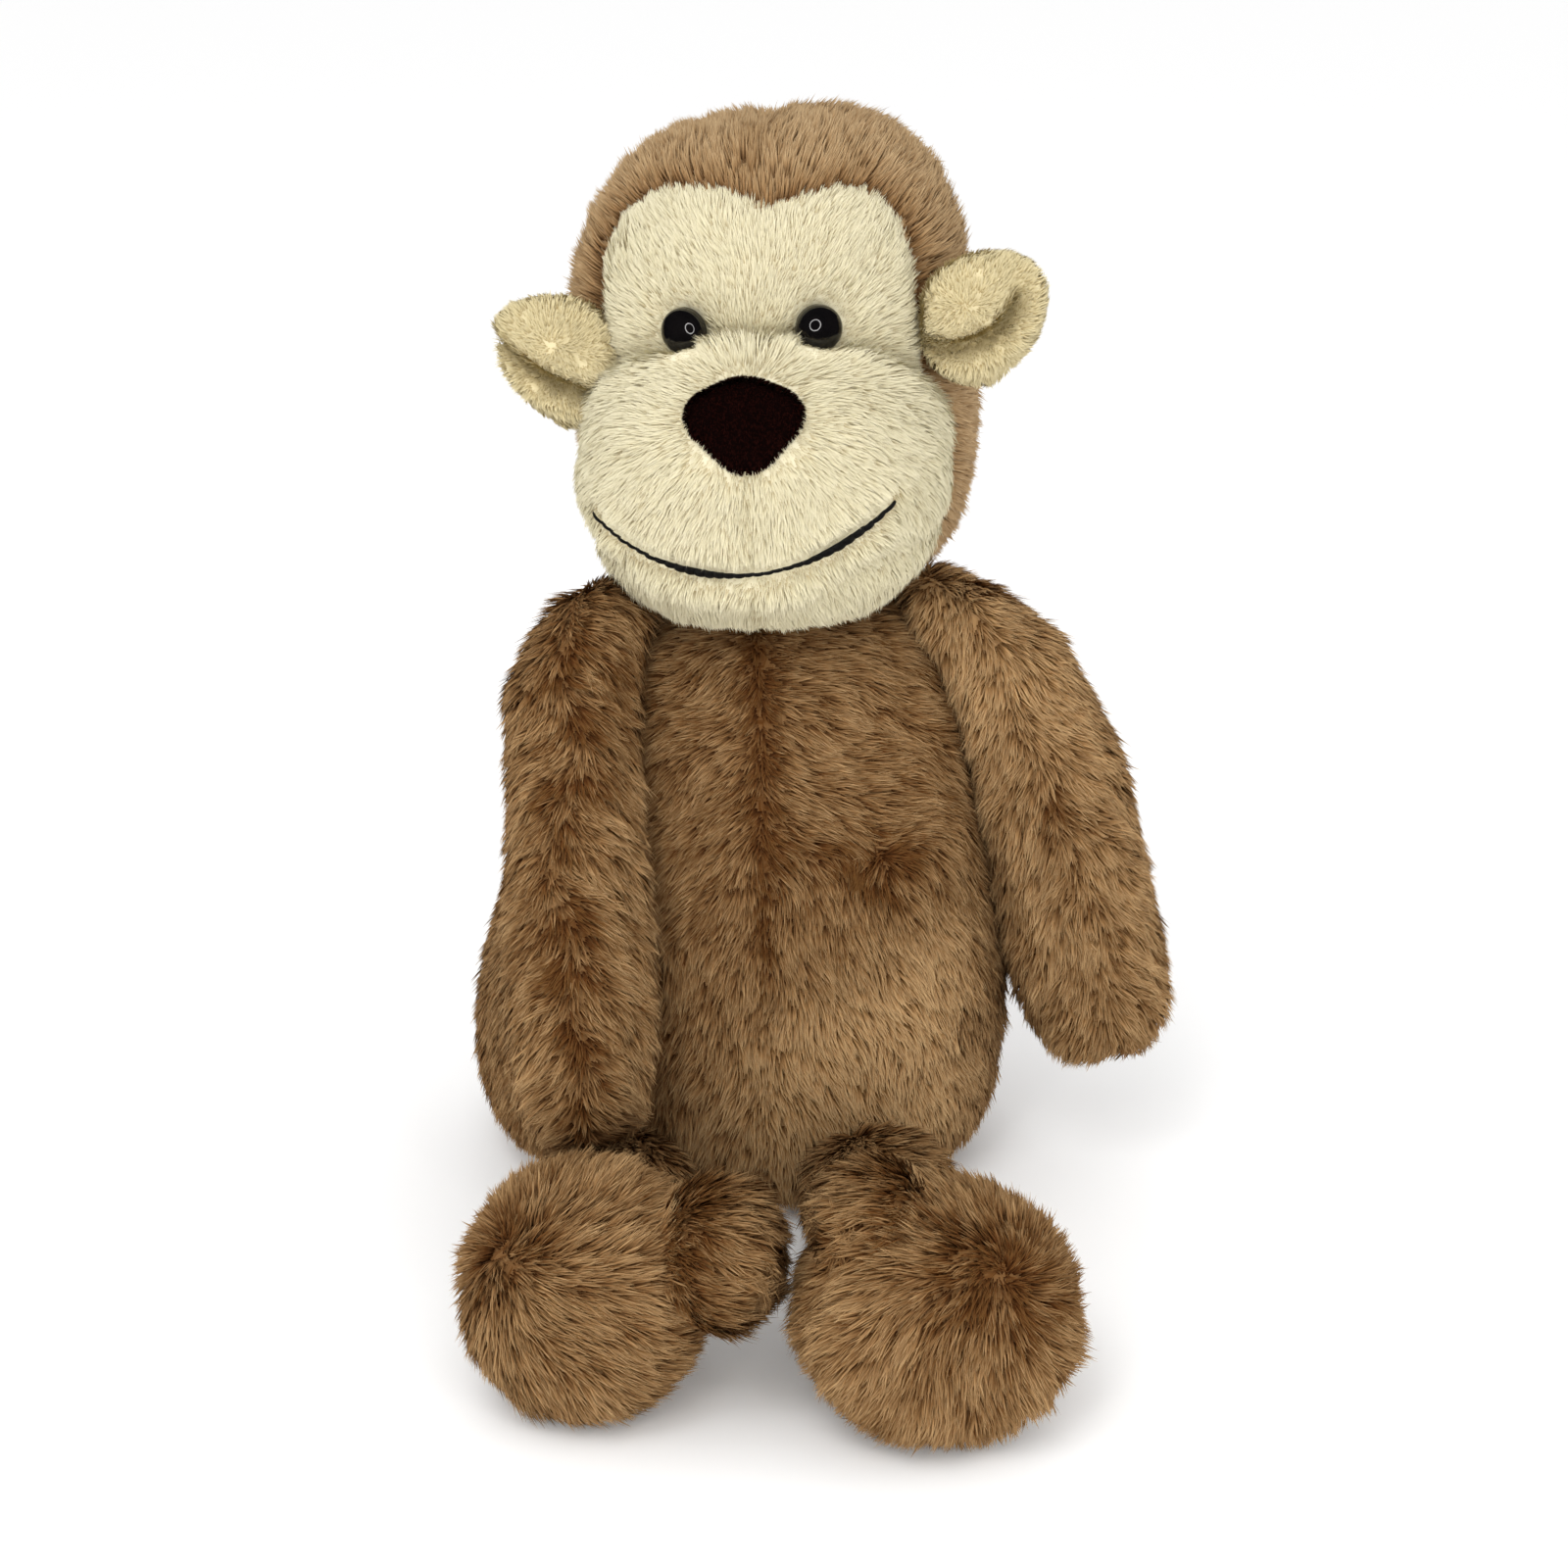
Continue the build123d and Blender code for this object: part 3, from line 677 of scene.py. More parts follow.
def plush(name, gloss, dark, light):
    """Pile whose colour runs from root to tip (V) and from dark to light fibres (U)."""
    material = new_material(name, {"Roughness": 0.7, "Specular IOR Level": gloss})
    tree = material.node_tree
    add, link = tree.nodes.new, tree.links.new
    uv = add("ShaderNodeUVMap")
    uv.uv_map = "OFBake"
    axes = add("ShaderNodeSeparateXYZ")
    link(uv.outputs[0], axes.inputs[0])
    spread = add("ShaderNodeMath")
    spread.operation = "MULTIPLY_ADD"
    spread.inputs[1].default_value = STRIPE_DEPTH
    link(add_streaks(tree, uv.outputs[0]), spread.inputs[0])
    link(axes.outputs["X"], spread.inputs[2])
    shift = add("ShaderNodeMath")
    shift.operation = "SUBTRACT"
    shift.use_clamp = True
    shift.inputs[1].default_value = STRIPE_DEPTH / 2
    link(spread.outputs[0], shift.inputs[0])
    mix = add("ShaderNodeMix")
    mix.data_type = "RGBA"
    link(shift.outputs[0], mix.inputs["Factor"])
    for socket, colours in (("A", dark), ("B", light)):
        ramp = add_ramp(tree, axes.outputs["Y"], *(srgb(*colour) for colour in colours))
        link(ramp, mix.inputs[socket])
    link(mix.outputs["Result"], tree.nodes["Principled BSDF"].inputs["Base Color"])
    return material


# For each slot: the material's name, its gloss, and the colours at the root, the middle and the
# tip of its darkest and of its lightest fibres.
PILES = {
    "brown_plush": plush("brown_pile", 0.03, ((37, 13, 1), (80, 45, 16), (112, 77, 39)),
                         ((88, 54, 22), (173, 134, 89), (211, 178, 131))),
    "head_plush": plush("crown_pile", 0.05, ((68, 38, 14), (130, 96, 60), (164, 134, 94)),
                        ((104, 72, 42), (184, 153, 112), (214, 188, 149))),
    "cream_plush": plush("cream_pile", 0.08, ((178, 158, 118), (209, 200, 165), (220, 212, 181)),
                         ((200, 186, 147), (229, 221, 189), (240, 233, 207))),
    "ear_plush": plush("ear_pile", 0.08, ((152, 128, 82), (196, 180, 134), (210, 196, 152)),
                       ((180, 160, 114), (216, 203, 162), (225, 214, 178))),
    "nose_velvet": plush("nose_pile", 0.02, ((4, 0, 0), (9, 2, 1), (20, 5, 4)),
                         ((8, 1, 1), (20, 6, 5), (62, 24, 18))),
}


def add_texture(tree, kind, output, values):
    """A texture in the piece's own space."""
    place = tree.nodes.new("ShaderNodeTexCoord")
    texture = tree.nodes.new(kind)
    set_inputs(texture, values)
    tree.links.new(place.outputs["Object"], texture.inputs["Vector"])
    return texture.outputs[output]


def add_weave(tree):
    """Threads that cross each other."""
    highest = tree.nodes.new("ShaderNodeMath")
    highest.operation = "MAXIMUM"
    for socket, direction in enumerate(("X", "Z")):
        threads = add_texture(tree, "ShaderNodeTexWave", "Fac", {"Scale": 700})
        threads.node.bands_direction = direction
        tree.links.new(threads, highest.inputs[socket])
    return highest.outputs[0]


def add_twist(tree):
    """The turns of a twisted thread."""
    return add_texture(tree, "ShaderNodeTexWave", "Fac", {"Scale": 1400, "Distortion": 1.5})


def add_noise(**values):
    return lambda tree: add_texture(tree, "ShaderNodeTexNoise", 0, values)


def add_cells(tree):
    """Round cells, highest value at their edges."""
    return add_texture(tree, "ShaderNodeTexVoronoi", "Distance", {"Scale": 330})


def patterned(name, add_pattern, dark, light, roughness, relief=0):
    """A material whose colour and relief, in metres, follow a pattern."""
    material = new_material(name, {"Roughness": roughness})
    tree = material.node_tree
    shader = tree.nodes["Principled BSDF"]
    pattern = add_pattern(tree)
    ramp = add_ramp(tree, pattern, srgb(*dark), srgb(*light))
    tree.links.new(ramp, shader.inputs["Base Color"])
    if relief:
        bump = tree.nodes.new("ShaderNodeBump")
        bump.invert = relief < 0
        set_inputs(bump, {"Distance": abs(relief)})
        tree.links.new(pattern, bump.inputs["Height"])
        tree.links.new(bump.outputs[0], shader.inputs["Normal"])
    return material


# --- coats
# lean: of a fibre from the cloth's normal at root and tip, in degrees. tufts: for each square
# millimetre. fibres: in a tuft. radius: of a tuft at its root. gather: the share of it at the
# tip. width: of a fibre at its root. stray: how much tufts differ in direction, in radians.
# clump: how much they lie in locks. pieces: straight pieces in a fibre. mottle: how much fibres
# differ in tone. under: the undercoat's V.
BODY_COAT = dict(
    length=4.8, lean=(55, 80), tufts=1.15, fibres=4, radius=0.85, gather=0.75, width=0.33,
    stray=0.14, clump=0.24, pieces=2, mottle=0.1, under=0.58,
)
SEAT_COAT = dict(BODY_COAT, tufts=0.1)
ARM_COAT = dict(
    BODY_COAT, length=5, lean=(52, 77), width=0.32, stray=0.18, clump=0.36, gather=0.66,
)
FOOT_COAT = dict(
    BODY_COAT, length=5.6, lean=(52, 77), tufts=1.25, stray=0.16, radius=1, gather=0.72,
    clump=0.26, width=0.3,
)
CROWN_COAT = dict(
    BODY_COAT, lean=(42, 72), radius=0.8, width=0.32, stray=0.08, clump=0.12, mottle=0.07,
    under=0.66,
)
FACE_COAT = dict(
    length=3.2, lean=(54, 80), tufts=2.7, fibres=3, radius=0.65, gather=0.85, width=0.22,
    stray=0.12, clump=0.12, pieces=2, mottle=0.05, under=0.92,
)
EAR_COAT = dict(FACE_COAT, length=2.1, tufts=3, clump=0.06, width=0.2, under=0.85)
TAIL_COAT = dict(BODY_COAT, length=4.6, tufts=0.6, width=0.5)
NOSE_COAT = dict(
    length=1, lean=(20, 50), tufts=6, fibres=3, radius=0.3, gather=0.7, width=0.16,
    stray=0.5, clump=0, pieces=2, mottle=0.12, under=0.3,
)
SOFTEN = 0.82                   # how much a fibre is shaded like the cloth under it
CLUMP_SIZE, CLUMP_SEED = 8, 11
SWAY_SIZE, SWAY_SEED, SWAY = 20, 12, 0.2      # slow changes of direction, in radians
# The toy's back has fewer, wider fibres.
BACKWARD = np.array([0, 0.95, -0.3])
BACK_THIN = 0.5
BACK_WIDE = 0.5
# How much fibres differ, as shares of a length or a width, in degrees and in radians.
LENGTH_SPREAD, LENGTH_LIMITS = 0.11, (0.6, 1.2)
WIDTH_SPREAD, WIDTH_LIMITS = 0.15, (0.6, 1.5)
LEAN_SPREAD, TUFT_LEAN_SPREAD = 5, 4
TWIST_SPREAD, TWIST_LIMIT = 0.6, 1.1
TONE_LIMITS = (0.04, 0.96)
TIP_NARROWER = 0.28
FIBRE_GAP = 0.35                # the least height of a fibre over the floor
UV_HALF = 0.02                  # half of a fibre's width in U, which the stripes run along
UV_MARGIN = 0.01

Tufts = namedtuple("Tufts", "place up ahead aside stretch tone lean behind")


def turned(first, second, angle):
    """Directions between two others, at an angle from the first towards the second."""
    return first * np.cos(angle)[:, None] + second * np.sin(angle)[:, None]


def triangle_areas(skin, faces):
    a, b, c = (skin.points[skin.triangles[faces][:, corner]] for corner in range(3))
    return np.linalg.norm(np.cross(b - a, c - a), axis=1) / 2


def sample_skin(rng, skin, faces, count):
    """Random places on some of a skin's faces: points, normals and distance to the seam."""
    area = triangle_areas(skin, faces)
    pick = rng.choice(len(faces), count, p=area / area.sum())
    share = rng.random((count, 2))
    share = np.where(share.sum(axis=1, keepdims=True) > 1, 1 - share, share)
    weights = np.column_stack([1 - share.sum(axis=1), share])[:, :, None]
    corner = skin.triangles[faces][pick]
    points = (skin.points[corner] * weights).sum(axis=1)
    normals = unit((skin.normals[corner] * weights).sum(axis=1))
    seam = (skin.seam[corner] * weights[:, :, 0]).sum(axis=1)
    return points, normals, seam


def plant_tufts(rng, skin, faces, coat, comb, look):
    """Where tufts stand on some faces of a skin, which way they lie and how they look."""
    count = max(4, int(triangle_areas(skin, faces).sum() * coat["tufts"]))
    place, up, seam = sample_skin(rng, skin, faces, count)
    behind = rise(up @ BACKWARD, -0.1, 0.35)
    kept = rng.random(count) > BACK_THIN * behind
    place, up, seam, behind = (values[kept] for values in (place, up, seam, behind))
    count = len(place)
    lump, uphill = wander(place, CLUMP_SIZE, CLUMP_SEED)
    ahead = unit(comb(place, up)) + coat["clump"] * uphill
    ahead = unit(ahead - (ahead * up).sum(axis=1, keepdims=True) * up)
    turn = rng.normal(0, coat["stray"], count) + SWAY * wander(place, SWAY_SIZE, SWAY_SEED)[0]
    ahead = turned(ahead, np.cross(up, ahead), turn)
    stretch, tone, flat = look(place, up, seam)
    stretch = stretch * rng.normal(1, 0.08, count) * (1 + 0.08 * lump)
    tone = tone + rng.normal(0, coat["mottle"], count) + 0.3 * coat["clump"] * lump
    lean = rng.normal(0, TUFT_LEAN_SPREAD, count) + flat - 10 * coat["clump"] * lump
    return Tufts(place, up, ahead, np.cross(up, ahead), stretch, tone, lean, behind)


def grow(rng, skin, faces, coat, comb, look):
    """Fibres on some faces of a skin: their ribbons' points, their tones and their shading."""
    tufts = plant_tufts(rng, skin, faces, coat, comb, look)
    tuft = np.repeat(np.arange(len(tufts.place)), coat["fibres"])
    total = len(tuft)
    up, ahead, stretch = tufts.up[tuft], tufts.ahead[tuft], tufts.stretch[tuft]
    reach = coat["radius"] * np.sqrt(rng.random(total))
    angle = 2 * math.pi * rng.random(total)
    offset = ahead * (reach * np.cos(angle))[:, None]
    offset = offset + tufts.aside[tuft] * (reach * np.sin(angle))[:, None]
    root = tufts.place[tuft] + offset
    length = coat["length"] * stretch
    length = length * np.clip(rng.normal(1, LENGTH_SPREAD, total), *LENGTH_LIMITS)
    start, end = (
        turned(up, ahead, np.radians(lean + tufts.lean[tuft] + rng.normal(0, LEAN_SPREAD, total)))
        for lean in coat["lean"]
    )
    gather = offset * (coat["gather"] - 1)
    middle = root + start * (length / 2)[:, None] + gather * 0.35
    tip = middle + end * (length / 2)[:, None] + gather * 0.65

    twist = np.clip(rng.normal(0, TWIST_SPREAD, total), -TWIST_LIMIT, TWIST_LIMIT)
    across = unit(np.cross(start + end, up))
    across = turned(across, unit(np.cross(across, start + end)), twist)
    width = coat["width"] * np.clip(rng.normal(1, WIDTH_SPREAD, total), *WIDTH_LIMITS)
    width = width * (1 + BACK_WIDE * tufts.behind[tuft]) * np.clip(0.3 + 0.9 * stretch, 0.3, 1)
    rows = []
    for row in range(coat["pieces"]):
        share = row / coat["pieces"]
        place = root * (1 - share) ** 2 + middle * (2 * share * (1 - share)) + tip * share**2
        half = across * (width * (0.5 - TIP_NARROWER * share**2))[:, None]
        rows += [place - half, place + half]
    points = np.stack(rows + [tip], axis=1)
    points[:, :, 2] = np.maximum(points[:, :, 2], FIBRE_GAP)
    tones = 0.5 + tufts.tone[tuft] + rng.normal(0, coat["mottle"], total)
    own = unit(np.cross(start + end, across))
    own = own * np.sign((own * up).sum(axis=1, keepdims=True))
    shading = unit(up * SOFTEN + own * (1 - SOFTEN))
    return points, np.clip(tones, *TONE_LIMITS), shading


def ribbon_faces(total, pieces):
    """Quads and the end triangles of ribbons whose points follow each other."""
    each = 2 * pieces + 1
    start = (np.arange(total) * each)[:, None]
    quads = [start + np.array([[2 * k, 2 * k + 1, 2 * k + 3, 2 * k + 2]])
             for k in range(pieces - 1)]
    ends = start + np.array([[each - 3, each - 2, each - 1]])
    return np.stack(quads, axis=1).reshape(-1, 4), ends


def furry_mesh(name, skin, faces, pile, look, coat):
    """The undercoat of one panel and its pile in one mesh: U is tone, V runs from root to tip."""
    fibres, tones, shading = pile
    used, local = np.unique(skin.triangles[faces], return_inverse=True)
    cloth = local.reshape(-1, 3)
    total, each = fibres.shape[:2]
    pieces = coat["pieces"]
    quads, ends = ribbon_faces(total, pieces)
    points = np.concatenate([skin.points[used], fibres.reshape(-1, 3)])
    all_faces = [cloth, ends + len(used), quads + len(used)]
    mesh = mesh_from(name, points, all_faces)
    corners = np.concatenate([group.ravel() for group in all_faces])
    sides = np.tile(np.array([-1, 1] * pieces + [0]) * UV_HALF, total)
    tips = np.tile(np.append(np.repeat(np.arange(pieces) / pieces, 2), 1), total)
    tone = look(skin.points[used], skin.normals[used], skin.seam[used])[1]
    under = np.clip(np.full(len(used), 0.5) + tone, *TONE_LIMITS)
    u = np.concatenate([under, np.repeat(tones, each) + sides])
    v = np.append(np.full(len(used), coat["under"]), np.clip(tips, UV_MARGIN, 1 - UV_MARGIN))
    pairs = np.column_stack([u[corners], v[corners]])
    # The cloth's own corners are spread a little, so that it has some area in the layer.
    pairs[:cloth.size] += np.tile([[0, 0], [UV_MARGIN, 0], [0, UV_MARGIN]], (len(cloth), 1))
    mesh.uv_layers.new(name="OFBake").uv.foreach_set("vector", pairs.ravel())
    normals = np.concatenate([skin.normals[used], np.repeat(shading, each, axis=0)])
    mesh.normals_split_custom_set_from_vertices(normals)
    return mesh


def dress(body, panels, slot, coat, comb, look):
    """Make the furry pieces that stand for some sewn panels of a body."""
    skin = skins[body]
    for panel in panels:
        faces = np.nonzero(skin.choice == BODIES[body].panels.index(panel))[0]
        seed = sum(ord(letter) * (place + 1) for place, letter in enumerate(panel))
        pile = grow(np.random.default_rng(seed), skin, faces, coat, comb, look)
        mesh = furry_mesh(f"plush_{panel}", skin, faces, pile, look, coat)
        piece = add_piece(mesh, PILES[slot], body, panel)


def plain_look(p, n, seam):
    """Full length and one tone all over."""
    return 1, 0, 0


# --- torso's pile
# A comb gives the direction in which pile lies at points p with normals n. A look gives its
# length, its tone and how many degrees flatter it lies, where seam is the distance from a seam.
TORSO_TURN = math.radians(6)
WHORL = np.array([30, -36, 77]) # below the right shoulder, out from the seam
BAND_START = np.array([5, -44, 84])       # a dark band runs from the seam to the whorl
BAND_WIDTH, FRONT_SEAM_WIDTH, SEAM_WIDTH = 3.4, 2.3, 2.6
# A painted highlight on the lower belly where the light falls, and a smaller pale patch on the
# right side.
BELLY_HIGHLIGHT, BELLY_HIGHLIGHT_RADIUS = (24, -44, 28), 21
PALE_SIDE, PALE_SIDE_RADIUS = (38, -32, 54), 10


def from_front_seam(p):
    """How far to the right of the seam down the belly."""
    return p[:, 0] * math.cos(TORSO_TURN) + p[:, 1] * math.sin(TORSO_TURN)


def torso_comb(p, n):
    """Away from the front seam above, downwards below, round a whorl on the right."""
    across = from_front_seam(p)
    right = rise(across, -1, 2)
    high_right = rise(p[:, 2], 74, 88)
    high_left = rise(p[:, 2], 50, 110)
    high = high_right * right + high_left * (1 - right)
    front = rise(-p[:, 1], -5, 15)
    aside = np.tanh(across / 1.5) * (0.25 + 0.75 * high) * front
    down = -(1 - (0.35 + 0.35 * right) * high * front)
    return vectors(aside, 0, down) + 1.8 * bump_at(p, WHORL, 9)[:, None] * unit(p - WHORL)


def dark_band(p, across):
    """1 on the line from the front seam to the whorl."""
    span = WHORL - BAND_START
    share = np.clip((p - BAND_START) @ span / (span @ span), 0, 1)
    off_band = p[:, 2] - (BAND_START + share[:, None] * span)[:, 2]
    front = rise(-p[:, 1], 5, 20)
    ends = rise(across, 0, 3), 1 - rise(p[:, 0], 30, 37)
    return near(off_band, BAND_WIDTH) * front * ends[0] * ends[1]


def torso_look(p, n, seam):
    """Dark at the front seam and the whorl, a painted highlight low on the right, painted shade low
    at the front, short under the seat.
    """
    front = rise(-p[:, 1], 5, 20)
    across = from_front_seam(p)
    near_seam = near(seam, SEAM_WIDTH)
    dark_seam = near(across, FRONT_SEAM_WIDTH) * rise(p[:, 2], 42, 72) * front
    whorl = bump_at(p, WHORL, 7)
    # painted highlight on the lower belly, plus the smaller pale patch on the side
    pale = bump_at(p, BELLY_HIGHLIGHT, BELLY_HIGHLIGHT_RADIUS) + 0.3 * bump_at(p, PALE_SIDE, PALE_SIDE_RADIUS)
    # Painted shade low at the front, where the belly comes down to the floor.
    low = rise(-p[:, 2], -18, -4)
    seat = rise(-n[:, 2], 0.3, 0.8)
    stretch = 1 - 0.3 * near_seam - 0.2 * whorl - 0.6 * seat
    blotch = 0.3 + spots(p, 5, 21)
    dark = 0.6 * dark_seam + 0.55 * whorl + 0.5 * dark_band(p, across)
    tone = 1.5 * pale - 0.12 * near_seam * front - blotch * dark
    tone = tone - 0.45 * low * rise(-p[:, 1], 20, 36) - 0.14
    return stretch, tone, 12 * seat


*walls, seat = BODIES["torso"].panels
dress("torso", walls, "brown_plush", BODY_COAT, torso_comb, torso_look)
dress("torso", [seat], "brown_plush", SEAT_COAT, torso_comb, torso_look)


# --- head's pile
COMB_CENTRE_Z = 46              # the face's pile is combed away from here
MUZZLE_SEAM_WIDTH = 0.9


def face_comb(p, n):
    x, y, z = to_head(p).T
    return from_head(x, 0, z - COMB_CENTRE_Z)


def muzzle_comb(p, n):
    """Out from the nose all round, and down over the lips and the chin."""
    x, y, z = to_head(p).T
    low = rise(COMB_CENTRE_Z - z, 0, 18)
    return from_head(x, 0, (z - COMB_CENTRE_Z) * (1 + 0.3 * low) - 6 * low)


def crown_comb(p, n):
    """Up and back over the crown, then down behind."""
    x, y, z = to_head(p).T
    behind = rise(y, 0, 25)
    up = (z - 50) / 40 * (1 - behind) - behind
    return from_head(x / 40, 0.55 * (1 - behind), up)


def near_eyes(x, z):
    """1 just inside each eye, towards the nose."""
    left, right = (near(sign * x - 7, 1.6, z - EYE_Z, 3.6) for sign in (-1, 1))
    return np.maximum(left, right)


def bare_spots(p):
    """How much the pile is trimmed round the eyes, the nose and the mouth."""
    x, y, z = to_head(p).T
    nose = np.hypot(x / NOSE_HALF_WIDTH, (z - NOSE_Z) / NOSE_HALF_HEIGHT)
    trim = 0.75 * (1 - rise(nose, 0.85, 1.15))
    for sign in (-1, 1):
        eye = np.hypot(x - sign * EYE_X, z - EYE_Z)
        trim = np.maximum(trim, 0.8 * (1 - rise(eye, 3.9, 6.4)))
    above = z - mouth_height(x)
    mouth = np.where(above > 0, 0.8 * above, -above)
    trim = np.maximum(trim, 0.85 * (1 - rise(mouth, 1.4, 3.6)) * in_mouth(x, 0, 2))
    return trim * rise(-y, 10, 25) * (1 - near_eyes(x, z))


def face_look(p, n, seam):
    """Short and shaded where the muzzle stands over the face, tanned between the eyes."""
    x, y, z = to_head(p).T
    near_seam = near(seam, 2.4)
    under_muzzle = near_seam * (1 - rise(z, 62, 68))
    stretch = (1 - bare_spots(p)) * (1 - 0.4 * near_seam)
    tan = near(x, 7, z - 61, 8)
    flat = -8 * (near_seam - under_muzzle) - 24 * near_eyes(x, z)
    return stretch, -0.45 * under_muzzle - 0.2 * tan, flat


def muzzle_look(p, n, seam):
    """A raised edge at the top with a painted highlight, a seam under the nose and painted shade
    under the lip.
    """
    x, y, z = to_head(p).T
    top = near(seam, 3) * rise(z, 38, 46)
    middle = near(x, MUZZLE_SEAM_WIDTH) * (1 - rise(z, 34, 38))
    below = mouth_height(x) - z
    lip = near(below - 1.5, 2) * rise(-y, 22, 30)
    chin = rise(below, 2, 12)
    stretch = (1 - bare_spots(p)) * (1 + 0.2 * top - 0.4 * middle)
    return stretch, 0.1 * top - 0.5 * middle - 0.4 * lip - 0.16 * chin, -14 * top


def crown_look(p, n, seam):
    """Painted shade at the roots where the crown's pile rises behind the face."""
    edge = near(seam, 3) * rise(-to_head(p)[:, 1], 2, 8)
    return 1, -0.34 * edge, 4 * edge


face, *crown = BODIES["head"].panels[:FIRST_MUZZLE]
muzzle = BODIES["head"].panels[FIRST_MUZZLE:]
dress("head", [face], "cream_plush", FACE_COAT, face_comb, face_look)
dress("head", muzzle, "cream_plush", FACE_COAT, muzzle_comb, muzzle_look)
dress("head", crown, "head_plush", CROWN_COAT, crown_comb, crown_look)


# --- ears' pile
def ear_comb_for(side):
    """Out from the ear's root and its middle."""
    low, high = (np.array(corner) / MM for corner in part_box(f"ear_front_{side}"))
    middle = (low + high) / 2
    root = middle + from_head(-OUTWARD[side], 0.3, 0) * 9
    return lambda p, n: unit(p - root) + 0.6 * unit(p - middle)


def ear_look_for(name):
    """Painted shade in the fold's crease, painted light on its roll and its rim."""

    def look(p, n, seam):
        axes, (out, up, ahead), _ = ear_field(name, p)
        facing, _, outward = axes
        moved = p + outward * ear_inward(name, out)[:, None]
        roll, crease, rim = ear_field(name, moved)[2]
        front = rise(n @ facing, -0.4, 0.2) * rise(ahead, -1, 1)
        shade = (0.75 * crease - 0.12 * roll - 0.12 * rim) * front
        stretch = 1 - 0.2 * near(seam, 1.5) - 0.2 * crease * front
        return stretch, -shade, 0

    return look


for side in SIDES:
    ear = f"ear_{side}"
    dress(ear, BODIES[ear].panels, "ear_plush", EAR_COAT, ear_comb_for(side), ear_look_for(ear))


# --- arms' pile
PARTING = {"left": (1, 0.85), "right": (-4, 0.45)}     # right of the axis, and its strength
# An arm's plain tone, and a change of it round a place: on the left a painted shadow between the
# shoulder and the chin, on the right lighter round the shoulder.
ARM_TONE_AND_SHADOW = {
    "left": (-0.05, -0.5, (-18, -40, 120), 12),
    "right": (0.1, 0.26, SHOULDERS["right"], 26),
}
VIEW = np.array([0, -1, 0.3])


def arm_fields(side):
    """An arm's pile runs down it and parts along its front."""
    down = unit(HANDS[side] - SHOULDERS[side])
    across = unit(np.cross(down, VIEW))
    front = np.cross(across, down)
    place, strength = PARTING[side]
    plain, change, centre, radius = ARM_TONE_AND_SHADOW[side]

    def parting(p):
        rel = p - SHOULDERS[side]
        return rel @ across - place - 1.8 * wander(p, 26, 31)[0]

    def comb(p, n):
        facing = rise(n @ front, -0.3, 0.4)
        aside = np.tanh(parting(p) / 2) * strength * facing
        return down * 0.8 + across * aside[:, None]

    def look(p, n, seam):
        facing = rise(n @ front, 0.1, 0.6)
        gap = near(parting(p), 3.4) * facing * strength
        patchy = (0.4 + spots(p, 16, 32)) * (0.3 + spots(p, 5, 33))
        tone = -0.7 * gap * patchy + plain + change * bump_at(p, centre, radius)
        return 1 - 0.2 * gap, tone, 0

    return comb, look


for side in SIDES:
    arm = f"arm_{side}"
    dress(arm, BODIES[arm].panels, "brown_plush", ARM_COAT, *arm_fields(side))


# --- legs' and feet's pile
FOOT_WHORLS = {"left": np.array([-45, -120, 38]), "right": np.array([47.5, -130, 38.5])}
FOOT_WHORL_SIZES = {"left": 8, "right": 11}
TOES = {"left": np.array([-5.5, -111, 31]), "right": np.array([25.5, -113, 37])}
LEG_TONE, FOOT_TONE, TOE_TONE = -0.12, -0.08, -0.12


def foot_fields(side):
    """A foot's pile spreads from a dark whorl on its upper side."""
    whorl = FOOT_WHORLS[side]

    def comb(p, n):
        return unit(p - whorl) + 0.35 * np.cross(n, unit(p - whorl))

    def look(p, n, seam):
        close = bump_at(p, whorl, FOOT_WHORL_SIZES[side])
        mottle = 0.35 + spots(p, 4.5, 41)
        return 1 - 0.35 * close, FOOT_TONE - 0.8 * close * mottle, -6 * close

    return comb, look


def toe_fields(side):
    """The toe's pile flows away from the foot, with painted shade in the crease beside it."""
    beside = -OUTWARD[side]

    def comb(p, n):
        x, y, z = (p - TOES[side]).T
        return vectors(x + 9 * beside, y - 3, z)

    def look(p, n, seam):
        crease = rise((p - TOES[side])[:, 0] * -beside, -3, 6)
        tone = TOE_TONE - 0.55 * crease * (0.5 + spots(p, 5, 43))
        return 1 - 0.25 * crease, tone, 0

    return comb, look


def leg_comb(p, n):
    """Down, forwards and outwards."""
    aside = np.tanh(p[:, 0] / 20)
    return vectors(0.35 * aside, -0.35, -0.9)


def leg_look(p, n, seam):
    """Short and flat on the underside, which the toy rests on."""
    under = rise(-n[:, 2], 0.5, 0.9)
    return 1 - 0.5 * under, LEG_TONE, 10 * under


for side in SIDES:
    leg = f"leg_{side}"
    *panels, toe = BODIES[leg].panels
    dress(leg, panels[:2], "brown_plush", BODY_COAT, leg_comb, leg_look)
    dress(leg, panels[2:], "brown_plush", FOOT_COAT, *foot_fields(side))
    dress(leg, [toe], "brown_plush", FOOT_COAT, *toe_fields(side))


# --- the tail
TAIL_ROOT = np.array([0, 53.2, 8.2])
BEND_ANGLE = math.radians(40)
BEND_OUT, BEND_BACK = 30, 27    # the radii of the tail's two bends


